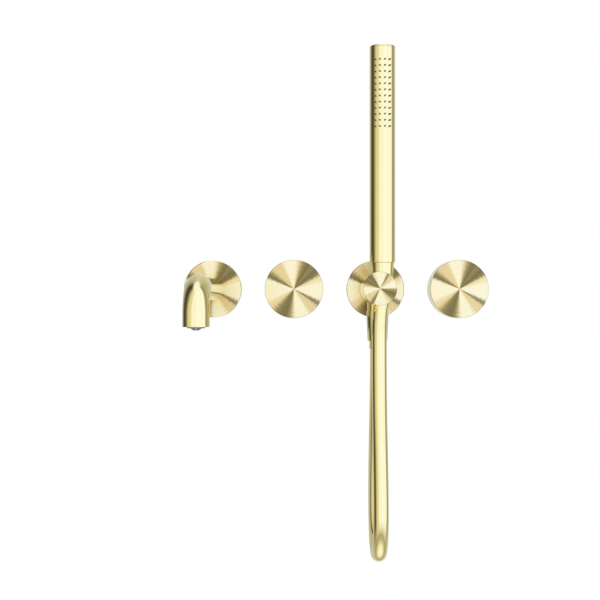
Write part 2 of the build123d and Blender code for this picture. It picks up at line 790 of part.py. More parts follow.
def end_cap():
    """Cap that closes the top of the hand shower."""
    outline = [
        (0, 233.5),
        (HANDLE_BORE - 0.03, 233.5),
        (HANDLE_BORE - 0.03, HANDLE_TOP - CAP_THICK),
        (HANDLE_R, HANDLE_TOP - CAP_THICK),
        (HANDLE_R, HANDLE_TOP - 0.9),
        (HANDLE_R - 0.3, HANDLE_TOP - 0.3),
        (HANDLE_R - 0.9, HANDLE_TOP),
        (0, HANDLE_TOP),
    ]
    return turned_z(outline, SEAT_X, SEAT_Y) - plug_groove(CAP_ORING_Z)


def handle_orings():
    """O-rings that seal the connector and the end cap in the tube."""
    ring = Torus(10.5, 0.58)
    return [Pos(SEAT_X, SEAT_Y, z) * ring for z in (CONNECTOR_ORING_Z, CAP_ORING_Z)]


def save_hand_shower():
    """Write every piece of the hand shower."""
    save("handle_tube", handle_tube())
    save("handle_connector", handle_connector())
    save("handle_waterway", handle_waterway())
    save("nozzle_strip", nozzle_strip())
    save("end_cap", end_cap())
    save("handle_orings", *handle_orings())


# ---------------------------------------------------------------- the whole set
def main():
    """Write every node of the faucet."""
    os.makedirs("parts", exist_ok=True)
    save("concealed_body", concealed_body())
    save("mounting_plate", mounting_plate())
    save("plate_screws", *plate_screws())
    save("rose_gaskets", *[gasket(x) for x in (SPOUT_X, DIVERTER_X, BRACKET_X, MIXER_X)])
    save_spout()
    save_valve("diverter", DIVERTER_X)
    save_valve("mixer", MIXER_X)
    save_bracket()
    save_hose()
    save_hand_shower()


main()
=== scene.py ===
"""Looks of a four-hole wall mounted bath set in polished gold.

The row holds, from left to right, a fixed spout, the diverter's disc knob, the bracket with its
hose outlet and stick hand shower, and the mixer's disc knob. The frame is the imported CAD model:
the origin lies on the finished wall, X runs along the row, -Y comes out into the room and Z is
up. Sizes in this file are millimetres unless a name says otherwise.
"""
from __future__ import annotations

import json
import logging
import math
from collections.abc import Callable, Sequence
from dataclasses import dataclass, field
from enum import Enum

import bmesh
import bpy
import numpy as np
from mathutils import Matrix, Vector


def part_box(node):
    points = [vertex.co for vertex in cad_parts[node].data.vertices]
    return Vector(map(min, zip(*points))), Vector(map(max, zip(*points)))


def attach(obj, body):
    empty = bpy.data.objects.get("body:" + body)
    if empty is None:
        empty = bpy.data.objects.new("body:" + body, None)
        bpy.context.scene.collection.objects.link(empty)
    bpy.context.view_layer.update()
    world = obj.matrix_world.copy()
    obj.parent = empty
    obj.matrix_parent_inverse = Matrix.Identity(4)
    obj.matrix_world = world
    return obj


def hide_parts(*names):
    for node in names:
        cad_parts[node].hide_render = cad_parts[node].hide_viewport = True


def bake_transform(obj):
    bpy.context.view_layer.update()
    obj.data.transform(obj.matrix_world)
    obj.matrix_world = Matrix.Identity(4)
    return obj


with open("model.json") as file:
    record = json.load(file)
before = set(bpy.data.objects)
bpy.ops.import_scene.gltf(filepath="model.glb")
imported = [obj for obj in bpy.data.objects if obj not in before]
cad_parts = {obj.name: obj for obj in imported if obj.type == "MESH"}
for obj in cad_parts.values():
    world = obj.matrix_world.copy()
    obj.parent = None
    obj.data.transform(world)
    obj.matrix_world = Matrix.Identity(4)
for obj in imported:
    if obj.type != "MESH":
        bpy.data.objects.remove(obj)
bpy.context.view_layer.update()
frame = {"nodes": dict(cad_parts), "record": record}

MM = 0.001
ROUND = 2 * math.pi
LOG = logging.getLogger("bath_set")

PITCH = 85.0
SPOUT_X = -1.5 * PITCH
DIVERTER_X = -0.5 * PITCH
BRACKET_X = 0.5 * PITCH
MIXER_X = 1.5 * PITCH
SEAT_X = BRACKET_X + 3.2
SEAT_Y = -66.0
OUTLET_Y = -40.0

SHARP_DEGREES = 32.0
TINY = 1e-6
GRUB_HOLE = 2.05

Outline = Sequence[tuple[float, ...]]
Colour = tuple[float, float, float]
Point = tuple[float, float, float]
Socket = bpy.types.NodeSocket
Piece = bpy.types.Object
Material = bpy.types.Material


class Body(Enum):
    """The CAD bodies that a visible piece can ride on."""

    ROOT = "root"
    MIXER = "mixer_knob"
    DIVERTER = "diverter_knob"
    POPPET = "check_poppet"
    HOSE_END = "hose_end"
    HAND_SHOWER = "hand_shower"


class Slot(Enum):
    """The record's material slots of the CAD nodes that the rebuilt pieces stand for."""

    TURNED = "turned_gold"
    POLISHED = "polished_gold"
    HOSE = "hose_jacket"
    GREY = "grey_plastic"
    SILICONE = "nozzle_silicone"
    STAINLESS = "stainless"


def linear(code: str) -> Colour:
    """Turn a six-digit sRGB colour code into linear values.

    Args:
        code: The colour as six hexadecimal digits.

    Returns:
        Red, green and blue, linear, from 0 to 1.
    """
    parts = [int(code[i : i + 2], 16) / 255 for i in (0, 2, 4)]
    red, green, blue = (p / 12.92 if p <= 0.04045 else ((p + 0.055) / 1.055) ** 2.4 for p in parts)
    return red, green, blue


def scaled(colour: Colour, factor: float) -> Colour:
    """Return a colour made lighter or darker by a factor."""
    red, green, blue = colour
    return red * factor, green * factor, blue * factor


# ------------------------------------------------------------------ node trees
class NodeTree:
    """A node tree, with short ways to add and join its nodes."""

    def __init__(self, tree: bpy.types.NodeTree) -> None:
        """Take over a tree and empty it.

        Args:
            tree: The tree of a material or a world.
        """
        self.tree = tree
        tree.nodes.clear()

    def put(self, socket: Socket, value: object) -> None:
        """Set a socket to a number or colour, or join it to another node's output.

        Args:
            socket: The input to fill.
            value: A number, a colour, or an output socket.
        """
        if isinstance(value, Socket):
            self.tree.links.new(value, socket)
        elif isinstance(value, tuple) and len(value) == 3 and socket.type == "RGBA":
            socket.default_value = (*value, 1.0)
        else:
            socket.default_value = value

    def node(
        self, kind: str, fill: dict[int | str, object] | None = None, **settings: object
    ) -> bpy.types.Node:
        """Add a node, set its own properties and fill some of its inputs.

        Args:
            kind: The node's type.
            fill: Inputs, by number or name, and what each one gets.
            settings: The node's own properties.

        Returns:
            The node.
        """
        made = self.tree.nodes.new(kind)
        for name, value in settings.items():
            setattr(made, name, value)
        for key, value in (fill or {}).items():
            self.put(made.inputs[key], value)
        return made

    def number(self, operation: str, *values: object) -> Socket:
        """Return the result of one Math node, whose inputs are numbers or sockets."""
        fill = dict(enumerate(values))
        return self.node("ShaderNodeMath", fill, operation=operation).outputs[0]

    def distance(self, first: Socket, second: Socket) -> Socket:
        """Return how far a point lies from an axis, from its two parts across that axis."""
        squares = [self.number("MULTIPLY", part, part) for part in (first, second)]
        return self.number("SQRT", self.number("ADD", *squares))

    def split(self, vector: Socket) -> tuple[Socket, ...]:
        """Return a vector's three parts."""
        return tuple(self.node("ShaderNodeSeparateXYZ", {0: vector}).outputs)

    def ramp(self, value: Socket, stops: Sequence[tuple]) -> Socket:
        """Return a colour that follows a value.

        Args:
            value: The value, from 0 to 1.
            stops: Places along the ramp, rising, the colour at each, and its cover where it
                isn't full.

        Returns:
            The colour, whose node also gives the cover.
        """
        node = self.node("ShaderNodeValToRGB", {0: value})
        elements = node.color_ramp.elements
        elements[0].position, elements[1].position = stops[0][0], stops[-1][0]
        for stop in stops[1:-1]:
            elements.new(stop[0])
        for element, (_, colour, *cover) in zip(elements, stops):
            element.color = (*colour, *(cover or (1.0,)))
        return node.outputs["Color"]

    def mix(self, kind: str, amount: object, first: object, second: object) -> Socket:
        """Return two colours mixed.

        Args:
            kind: The way of mixing, such as MIX or MULTIPLY.
            amount: How much of the second shows, from 0 to 1.
            first: The first colour.
            second: The second colour.

        Returns:
            The mixed colour.
        """
        node = self.node("ShaderNodeMix", {0: amount}, data_type="RGBA", blend_type=kind)
        colours = [socket for socket in node.inputs if socket.type == "RGBA"]
        for socket, value in zip(colours, (first, second)):
            self.put(socket, value)
        return next(socket for socket in node.outputs if socket.type == "RGBA")


class Graph(NodeTree):
    """A material's node tree round one Principled shader."""

    def __init__(self, name: str) -> None:
        """Start a material.

        Args:
            name: The material's name.
        """
        self.material = bpy.data.materials.new(name)
        self.material.use_nodes = True
        super().__init__(self.material.node_tree)
        self.shader = self.node("ShaderNodeBsdfPrincipled")
        self.node("ShaderNodeOutputMaterial", {"Surface": self.shader.outputs["BSDF"]})

    def look(self, **values: object) -> None:
        """Fill the Principled shader's inputs.

        Args:
            values: Input names in lower case with underscores, and what each one gets.
        """
        for name, value in values.items():
            self.put(self.shader.inputs[name.replace("_", " ").title()], value)

    def place(self, offset: Point = (0.0, 0.0, 0.0), scale: Point = (1.0, 1.0, 1.0)) -> Socket:
        """Return the point on the object, stretched and then moved.

        Args:
            offset: What is added to the point, in metres.
            scale: The stretch along each axis.

        Returns:
            The mapped vector.
        """
        point = self.node("ShaderNodeTexCoord").outputs["Object"]
        fill = {"Vector": point, "Location": offset, "Scale": scale}
        return self.node("ShaderNodeMapping", fill).outputs["Vector"]

    def uv(self) -> Socket:
        """Return the point on the piece's own UV map."""
        return self.node("ShaderNodeTexCoord").outputs["UV"]

    def noise(
        self, point: Socket, scale: float, detail: float = 3.0, along: bool = False
    ) -> Socket:
        """Return noise from 0 to 1.

        Args:
            point: The point, or one number where the noise runs along it.
            scale: How many lumps there are in a metre, or in one unit of the number.
            detail: How many finer layers are added.
            along: Whether the noise depends on one number.

        Returns:
            The noise's value.
        """
        source, kind = ("W", "1D") if along else ("Vector", "3D")
        fill = {source: point, "Scale": scale, "Detail": detail}
        return self.node("ShaderNodeTexNoise", fill, noise_dimensions=kind).outputs["Fac"]

    def span(
        self, value: Socket, low: float, high: float, to_low: float, to_high: float
    ) -> Socket:
        """Return a value moved from one range to another.

        Args:
            value: The value to move.
            low: Where the old range starts.
            high: Where it ends.
            to_low: What low becomes.
            to_high: What high becomes.

        Returns:
            The moved value, kept inside the new range.
        """
        fill = dict(enumerate((value, low, high, to_low, to_high)))
        return self.node("ShaderNodeMapRange", fill).outputs[0]

    def bump(self, height: Socket, strength: float, distance: float) -> None:
        """Raise the surface a little by a height pattern.

        Args:
            height: The pattern, from 0 to 1.
            strength: How much it shows.
            distance: The height of a full step, in metres.
        """
        fill = {"Strength": strength, "Distance": distance, "Height": height}
        self.put(self.shader.inputs["Normal"], self.node("ShaderNodeBump", fill).outputs["Normal"])


# ------------------------------------------------------------------ finishes
GOLD = (0.86, 0.75, 0.33)
GOLD_SHADE = (0.80, 0.68, 0.28)


@dataclass(frozen=True)
class PolishedGold:
    """Mirror-polished gold plating, with faint cleaning haze and hairlines."""

    name: str = "polished_gold"
    roughness: float = 0.035
    haze: float = 0.03
    wear: float = 0.06
    ripple: float = 0.0

    def material(self) -> Material:
        """Return the material."""
        graph = Graph(self.name)
        cloud = graph.noise(graph.place(), 38.0, 4.0)
        hair = graph.noise(graph.place(scale=(1.0, 1.0, 0.12)), 2600.0, 2.0)
        tone = graph.mix("MIX", graph.span(cloud, 0.35, 0.7, 0.0, self.wear * 2), GOLD, GOLD_SHADE)
        worn = graph.span(hair, 0.62, 0.8, 0.0, self.wear)
        tone = graph.mix("MULTIPLY", worn, tone, (0.8, 0.74, 0.6))
        rough = graph.span(cloud, 0.3, 0.75, self.roughness, self.roughness + self.haze)
        graph.look(base_color=tone, metallic=1.0, roughness=rough)
        if self.ripple:
            swell = graph.noise(graph.place(scale=(1.0, 0.6, 0.5)), 150.0, 1.0)
            graph.bump(swell, self.ripple, 0.0004)
        return graph.material


@dataclass(frozen=True)
class TurnedGold:
    """Gold face with the fine rings of the lathe, and a painted reflection: a fan of light and dark
    streaks painted into its colour.
    """

    name: str
    centre_x: float
    turn: float = 0.0
    radius: float = 30.0
    rings: float = 3600.0
    jitter: float = 0.03

    # Painted reflection: the tones of the streaks, from painted highlight to painted dark
    # reflection, set at angles round the face.
    BRIGHT = "FFF9D8"
    PALE = "F6E7B8"
    MID = "EBD7A4"
    OLIVE = "AC9E6A"
    STREAK = "9A8F66"
    DARK = "8F845B"
    DEEP = "80754E"
    PAINTED_FAN = (
        (13, BRIGHT), (18, PALE), (25, PALE), (31, DARK), (42, DEEP), (51, STREAK),
        (59, DEEP), (66, DARK), (72, OLIVE), (79, MID), (86, BRIGHT), (110, BRIGHT),
        (117, MID), (137, MID), (145, OLIVE), (149, DARK), (155, DEEP), (160, BRIGHT),
        (203, BRIGHT), (209, PALE), (221, MID), (229, OLIVE), (236, DARK), (253, DEEP),
        (262, OLIVE), (273, BRIGHT), (299, BRIGHT), (306, MID), (322, MID), (328, DARK),
        (332, DARK), (338, BRIGHT),
    )
    CAST = (0.88, 0.81, 0.55)

    def stops(self) -> list[tuple[float, Colour]]:
        """Return the painted reflection's fan of streaks as stops round the face, from +X and
        counter-clockwise.
        """
        shifted = [((angle + self.turn) % 360 / 360, linear(code)) for angle, code in self.PAINTED_FAN]
        return sorted(
            (place, tuple(c * k for c, k in zip(colour, self.CAST))) for place, colour in shifted
        )

    def material(self) -> Material:
        """Return the material."""
        graph = Graph(self.name)
        x, _, z = graph.split(graph.place(offset=(-self.centre_x * MM, 0.0, 0.0)))
        angle = graph.number("ARCTAN2", z, x)
        far = graph.distance(x, z)
        fine = graph.noise(far, self.rings, 2.0, along=True)
        coarse = graph.noise(far, self.rings * 0.26, 2.0, along=True)
        drift = graph.number(
            "ADD",
            graph.number("MULTIPLY", graph.number("SUBTRACT", fine, 0.5), self.jitter),
            graph.number("MULTIPLY", graph.number("SUBTRACT", coarse, 0.5), self.jitter * 1.1),
        )
        turns = graph.number("ADD", graph.number("DIVIDE", angle, ROUND), drift)
        share = graph.number("FRACT", turns)
        # Painted reflection: the fan of highlights and dark streaks goes into the base colour.
        painted_fan = graph.ramp(share, self.stops())
        tone = graph.mix("MULTIPLY", graph.span(fine, 0.3, 0.7, 0.0, 0.16), painted_fan, (0.78, 0.74, 0.62))
        dull = graph.span(coarse, 0.35, 0.65, 0.0, 0.16)
        tone = graph.mix("MULTIPLY", dull, tone, (0.84, 0.8, 0.7))
        # Painted shade: a darker ring near the face's outer edge, in place of the chamfer's dark
        # reflection.
        rim = graph.span(far, (self.radius - 0.75) * MM, (self.radius - 0.25) * MM, 0.0, 0.7)
        tone = graph.mix("MULTIPLY", rim, tone, (0.62, 0.56, 0.42))
        rough = graph.span(fine, 0.3, 0.7, 0.26, 0.38)
        graph.look(base_color=tone, metallic=1.0, roughness=rough)
        graph.bump(fine, 0.12, 0.00004)
        return graph.material


@dataclass(frozen=True)
class HoseSkin:
    """Gold film under a thin clear jacket, wound as a fine ribbon along the hose."""

    name: str = "hose_jacket"
    ribbon_turns: float = 480.0

    def material(self) -> Material:
        """Return the material."""
        graph = Graph(self.name)
        around, along, _ = graph.split(graph.uv())
        winding = graph.number("ADD", graph.number("MULTIPLY", along, self.ribbon_turns), around)
        wave = graph.number("SINE", graph.number("MULTIPLY", winding, math.pi))
        ribbon = graph.number("ABSOLUTE", wave)
        cloud = graph.noise(graph.place(), 60.0, 3.0)
        tone = graph.mix("MIX", graph.span(ribbon, 0.0, 0.35, 0.12, 0.0), GOLD, GOLD_SHADE)
        dull = graph.span(cloud, 0.35, 0.7, 0.0, 0.12)
        tone = graph.mix("MULTIPLY", dull, tone, (0.88, 0.84, 0.72))
        rough = graph.span(ribbon, 0.0, 0.3, 0.1, 0.07)
        graph.look(base_color=tone, metallic=1.0, roughness=rough)
        return graph.material


@dataclass(frozen=True)
class CastBrass:
    """Sand-cast brass, grainy and dull, with tarnish in its hollows."""

    name: str = "cast_brass"

    def material(self) -> Material:
        """Return the material."""
        graph = Graph(self.name)
        point = graph.place()
        grain = graph.noise(point, 900.0, 5.0)
        stain = graph.noise(point, 28.0, 4.0)
        tarnish, plain, worn = (0.33, 0.22, 0.09), (0.52, 0.37, 0.15), (0.63, 0.47, 0.21)
        tone = graph.ramp(stain, [(0.3, tarnish), (0.52, plain), (0.75, worn)])
        hollow = graph.span(grain, 0.35, 0.65, 0.5, 0.0)
        tone = graph.mix("MULTIPLY", hollow, tone, (0.6, 0.52, 0.42))
        graph.look(base_color=tone, metallic=0.9, roughness=graph.span(grain, 0.3, 0.7, 0.42, 0.62))
        graph.bump(grain, 0.45, 0.0003)
        return graph.material


@dataclass(frozen=True)
class PlainMetal:
    """Machined metal: cut marks round and along the part, and a slightly uneven tone."""

    name: str
    colour: Colour
    shade: Colour
    roughness: float = 0.24
    marks: float = 1800.0

    def material(self) -> Material:
        """Return the material."""
        graph = Graph(self.name)
        cut = graph.noise(graph.place(scale=(0.15, 1.0, 0.15)), self.marks, 2.0)
        stain = graph.noise(graph.place(), 55.0, 3.0)
        tone = graph.mix("MIX", graph.span(stain, 0.35, 0.7, 0.0, 1.0), self.colour, self.shade)
        rough = graph.span(cut, 0.3, 0.7, self.roughness, self.roughness + 0.14)
        graph.look(base_color=tone, metallic=1.0, roughness=rough)
        graph.bump(cut, 0.2, 0.00006)
        return graph.material


@dataclass(frozen=True)
class Moulded:
    """Moulded plastic, rubber or fired ceramic: fine spark grain and faint flow clouds."""

    name: str
    colour: Colour
    shade: Colour
    roughness: float = 0.45
    grain: float = 1600.0
    soft: float = 0.0

    def material(self) -> Material:
        """Return the material."""
        graph = Graph(self.name)
        point = graph.place()
        cloud = graph.noise(point, 90.0, 3.0)
        grain = graph.noise(point, self.grain, 2.0)
        tone = graph.mix("MIX", graph.span(cloud, 0.3, 0.7, 0.0, 1.0), self.colour, self.shade)
        rough = graph.span(grain, 0.3, 0.7, self.roughness - 0.06, self.roughness + 0.1)
        graph.look(base_color=tone, roughness=rough)
        graph.look(subsurface_weight=self.soft, subsurface_scale=0.002)
        graph.bump(grain, 0.18, 0.00005)
        return graph.material


@dataclass(frozen=True)
class NozzleSkin:
    """Grey silicone: cool grey on the tips' faces, and a painted dark warm shade down their sides.
    """

    name: str = "nozzle_tip_silicone"
    centre: tuple[float, float] = (SEAT_X, SEAT_Y)
    side_end: float = 13.9
    face_start: float = 14.3

    def material(self) -> Material:
        """Return the material."""
        graph = Graph(self.name)
        x, y, _ = graph.split(graph.place(offset=(-self.centre[0] * MM, -self.centre[1] * MM, 0.0)))
        far = graph.distance(x, y)
        grain = graph.noise(graph.place(), 2400.0, 2.0)
        face = graph.span(far, self.side_end * MM, self.face_start * MM, 0.0, 1.0)
        # Painted shade: the sides, inside face_start, are painted a dark warm brown; the faces keep
        # the cool grey.
        tone = graph.mix("MIX", face, linear("4A4430"), linear("6E6F6F"))
        tone = graph.mix("MULTIPLY", graph.span(grain, 0.3, 0.7, 0.0, 0.3), tone, (0.7, 0.7, 0.7))
        graph.look(base_color=tone, roughness=graph.span(grain, 0.3, 0.7, 0.45, 0.6))
        graph.bump(grain, 0.2, 0.00004)
        return graph.material


@dataclass
class Palette:
    """Every finish of the set, made once and looked up by name."""

    made: dict[str, Material] = field(default_factory=dict)

    def get(self, finish: object) -> Material:
        """Return a finish's material.

        Args:
            finish: One of the finish classes, with a name.

        Returns:
            The material, made the first time that it is asked for.
        """
        if finish.name not in self.made:
            self.made[finish.name] = finish.material()
        return self.made[finish.name]


POLISHED = PolishedGold()
HOSE_SKIN = HoseSkin()
GREY = Moulded("grey_plastic", (0.13, 0.13, 0.13), (0.18, 0.18, 0.18), 0.38)
SILICONE = Moulded("nozzle_silicone", (0.10, 0.115, 0.14), (0.15, 0.165, 0.19), 0.5, soft=0.15)
TIPS = NozzleSkin()
SPOUT_GOLD = PolishedGold("polished_spout_gold", ripple=0.16)
STEEL = PlainMetal("stainless", (0.62, 0.62, 0.62), (0.52, 0.52, 0.54), 0.2)
CAD_FINISHES = {
    "turned_gold": POLISHED,
    "polished_gold": POLISHED,
    "hose_jacket": HOSE_SKIN,
    "plain_brass": PlainMetal("plain_brass", (0.78, 0.58, 0.27), (0.66, 0.47, 0.2)),
    "zinc_steel": PlainMetal("zinc_steel", (0.56, 0.57, 0.58), (0.44, 0.46, 0.5), 0.34, 900.0),
    "stainless": STEEL,
    "ceramic": Moulded("ceramic", (0.86, 0.86, 0.83), (0.8, 0.8, 0.77), 0.22),
    "black_rubber": Moulded("black_rubber", (0.022, 0.022, 0.024), (0.035, 0.035, 0.037), 0.6),
    "grey_plastic": GREY,
    "nozzle_silicone": SILICONE,
    "white_plastic": Moulded("white_plastic", (0.78, 0.77, 0.74), (0.7, 0.69, 0.66), 0.4),
}


# ------------------------------------------------------------------ turned and swept shapes
@dataclass
class Spine:
    """A centre line with a frame that doesn't twist, along which an outline is turned."""

    points: np.ndarray
    side: Point
    start: float = 0.0

    def __post_init__(self) -> None:
        """Carry the side vector along the line and measure the way."""
        steps = np.diff(self.points, axis=0)
        lengths = np.linalg.norm(steps, axis=1)
        self.way = self.start + np.concatenate([[0.0], np.cumsum(lengths)])
        heading = steps / lengths[:, None]
        heading = np.vstack([heading[:1], heading[:-1] + heading[1:], heading[-1:]])
        heading /= np.linalg.norm(heading, axis=1)[:, None]
        carried = [np.array(self.side, float)]
        for direction in heading:
            across = carried[-1] - direction * float(carried[-1] @ direction)
            carried.append(across / np.linalg.norm(across))
        self.first = np.array(carried[1:])
        self.second = np.cross(heading, self.first)

    @classmethod
    def straight(cls, origin: Point, axis: Point) -> Spine:
        """Return a straight line through a point, long enough both ways.

        Args:
            origin: The point where the way is 0.
            axis: The unit direction in which the way grows.

        Returns:
            The line.
        """
        reach = 500.0
        middle, along = np.array(origin, float), np.array(axis, float)
        side = (1.0, 0.0, 0.0)
        return cls(np.array([middle - along * reach, middle + along * reach]), side, -reach)

    def rings(self, outline: np.ndarray, segments: int) -> np.ndarray:
        """Return the rings of points that an outline makes round the line.

        Args:
            outline: Rows of (radius, way).
            segments: How many points a ring has.

        Returns:
            Points in metres, ring by ring.
        """
        parts = [
            np.stack([np.interp(outline[:, 1], self.way, rows[:, k]) for k in range(3)], axis=1)
            for rows in (self.points, self.first, self.second)
        ]
        centre, first, second = parts
        first /= np.linalg.norm(first, axis=1)[:, None]
        second /= np.linalg.norm(second, axis=1)[:, None]
        angle = np.arange(segments) * ROUND / segments
        cosine, sine = (wave(angle)[None, :, None] for wave in (np.cos, np.sin))
        turn = cosine * first[:, None] + sine * second[:, None]
        return (centre[:, None] + turn * outline[:, 0][:, None, None]) * MM


def softened(outline: Outline, pieces: int = 4) -> np.ndarray:
    """Round the corners of a closed outline.

    Args:
        outline: Points of (radius, way), each with an optional third number, the corner's size.
        pieces: How many steps each rounded corner has.

    Returns:
        Rows of (radius, way) with a small arc at each rounded corner.
    """
    rows: list[np.ndarray] = []
    corners = [np.array(point[:2], float) for point in outline]
    for i, point in enumerate(outline):
        size = point[2] if len(point) > 2 else 0.0
        here = corners[i]
        if size <= 0:
            rows.append(here)
            continue
        before, after = corners[i - 1] - here, corners[(i + 1) % len(corners)] - here
        before *= min(size / np.linalg.norm(before), 0.5)
        after *= min(size / np.linalg.norm(after), 0.5)
        for step in range(pieces + 1):
            t = step / pieces
            rows.append(here + before * (1 - t) ** 2 + after * t**2)
    return np.array(rows)


def stretched(outline: np.ndarray, step: float) -> np.ndarray:
    """Add points to a closed outline's long sides, so that it can follow a bend.

    Args:
        outline: Rows of (radius, way).
        step: The longest side that is left.

    Returns:
        The outline with more points.
    """
    rows = []
    for here, there in zip(outline, np.roll(outline, -1, axis=0)):
        count = max(1, math.ceil(float(np.linalg.norm(there - here)) / step))
        rows += [here + (there - here) * k / count for k in range(count)]
    return np.array(rows)


def turned(
    name: str,
    spine: Spine,
    outline: Outline,
    segments: int = 160,
    step: float = 0.0,
    corner: int = 4,
) -> Piece:
    """Turn a closed outline round a line into a closed solid.

    Args:
        name: The object's name.
        spine: The line.
        outline: Points of (radius, way) in order, each with an optional corner size.
        segments: How many sides the solid has round the line.
        step: The longest side along the line, where the line bends.
        corner: How many steps each rounded corner has.

    Returns:
        The new object, smooth but for its sharp corners.
    """
    rows = softened(outline, corner)
    if step:
        rows = stretched(rows, step)
    grid = spine.rings(rows, segments)
    mesh = bmesh.new()
    layer = mesh.loops.layers.uv.new("along")
    rings: list[list[bmesh.types.BMVert]] = []
    for radius, ring in zip(rows[:, 0], grid):
        if radius < TINY:
            rings.append([mesh.verts.new(ring[0])] * segments)
        else:
            rings.append([mesh.verts.new(point) for point in ring])
    for i, ring in enumerate(rings):
        other = rings[(i + 1) % len(rings)]
        ways = (rows[i, 1] * MM, rows[(i + 1) % len(rows), 1] * MM)
        for j in range(segments):
            k = (j + 1) % segments
            corners = [(ring[j], j, 0), (ring[k], j + 1, 0), (other[k], j + 1, 1), (other[j], j, 1)]
            kept = [c for n, c in enumerate(corners) if c[0] is not corners[n - 1][0]]
            if len({c[0] for c in kept}) < 3:
                continue
            face = mesh.faces.new([c[0] for c in kept])
            for loop, (_, turn, end) in zip(face.loops, kept):
                loop[layer].uv = (turn / segments, ways[end])
    return finished(name, mesh)


def finished(name: str, mesh: bmesh.types.BMesh) -> Piece:
    """Turn a working mesh into an object with its faces outwards.

    Args:
        name: The object's name.
        mesh: The working mesh, which is freed.

    Returns:
        The new object, linked to the scene.
    """
    bmesh.ops.recalc_face_normals(mesh, faces=mesh.faces)
    if mesh.calc_volume(signed=True) < 0:
        bmesh.ops.reverse_faces(mesh, faces=mesh.faces)
    return from_mesh(name, mesh)


def from_mesh(name: str, mesh: bmesh.types.BMesh) -> Piece:
    """Turn a working mesh, which is freed, into a smooth object."""
    data = bpy.data.meshes.new(name)
    mesh.to_mesh(data)
    mesh.free()
    smooth(data)
    return linked(name, data)


def linked(name: str, data: bpy.types.ID | None) -> Piece:
    """Return a new object with the given data, linked to the scene."""
    made = bpy.data.objects.new(name, data)
    bpy.context.scene.collection.objects.link(made)
    return made


def smooth(data: bpy.types.Mesh) -> None:
    """Shade a mesh smooth, and keep the edges past an angle sharp."""
    data.polygons.foreach_set("use_smooth", [True] * len(data.polygons))
    data.set_sharp_from_angle(angle=math.radians(SHARP_DEGREES))


def merged(name: str, parts: Sequence[Piece]) -> Piece:
    """Put several objects' meshes into one object, without joining their surfaces.

    Args:
        name: The new object's name.
        parts: The objects, which are removed.

    Returns:
        The new object.
    """
    mesh = bmesh.new()
    for part in parts:
        mesh.from_mesh(part.data)
    for part in parts:
        discard(part)
    return from_mesh(name, mesh)


def discard(piece: Piece) -> None:
    """Remove an object and its mesh."""
    data = piece.data
    bpy.data.objects.remove(piece)
    bpy.data.meshes.remove(data)


def evaluated(piece: Piece) -> None:
    """Replace an object's mesh by what its modifiers make of it, and remove them."""
    depsgraph = bpy.context.evaluated_depsgraph_get()
    plain = bpy.data.meshes.new_from_object(piece.evaluated_get(depsgraph))
    piece.modifiers.clear()
    old, piece.data = piece.data, plain
    bpy.data.meshes.remove(old)


def cut(piece: Piece, tools: Sequence[Piece], how: str = "DIFFERENCE") -> Piece:
    """Cut tools out of a piece, or add them to it.

    Args:
        piece: The piece, which is changed.
        tools: The closed shapes, which are removed afterwards.
        how: The Boolean modifier's operation.

    Returns:
        The piece.
    """
    for tool in tools:
        modifier = piece.modifiers.new("cut", "BOOLEAN")
        modifier.operation = how
        modifier.solver = "MANIFOLD"
        modifier.object = tool
    evaluated(piece)
    for tool in tools:
        discard(tool)
    smooth(piece.data)
    return piece


def upright(x: float, y: float) -> Spine:
    """Return a vertical line whose way is the height."""
    return Spine.straight((x, y, 0.0), (0.0, 0.0, 1.0))


def level(x: float, z: float = 0.0) -> Spine:
    """Return a line out of the wall whose way is the depth into the room."""
    return Spine.straight((x, 0.0, z), (0.0, -1.0, 0.0))


def bar(spine: Spine, radius: float, low: float, high: float, segments: int = 48) -> Piece:
    """Return a plain round tool for cutting holes."""
    return turned("tool", spine, [(0, low), (radius, low), (radius, high), (0, high)], segments)


def block(low: Point, high: Point) -> Piece:
    """Return a plain square tool for cutting slots."""
    mesh = bmesh.new()
    bmesh.ops.create_cube(mesh, size=1.0)
    size = Vector(high) - Vector(low)
    middle = (Vector(high) + Vector(low)) / 2
    for vertex in mesh.verts:
        vertex.co = Vector(a * b for a, b in zip(vertex.co, size)) + middle
        vertex.co *= MM
    return finished("tool", mesh)


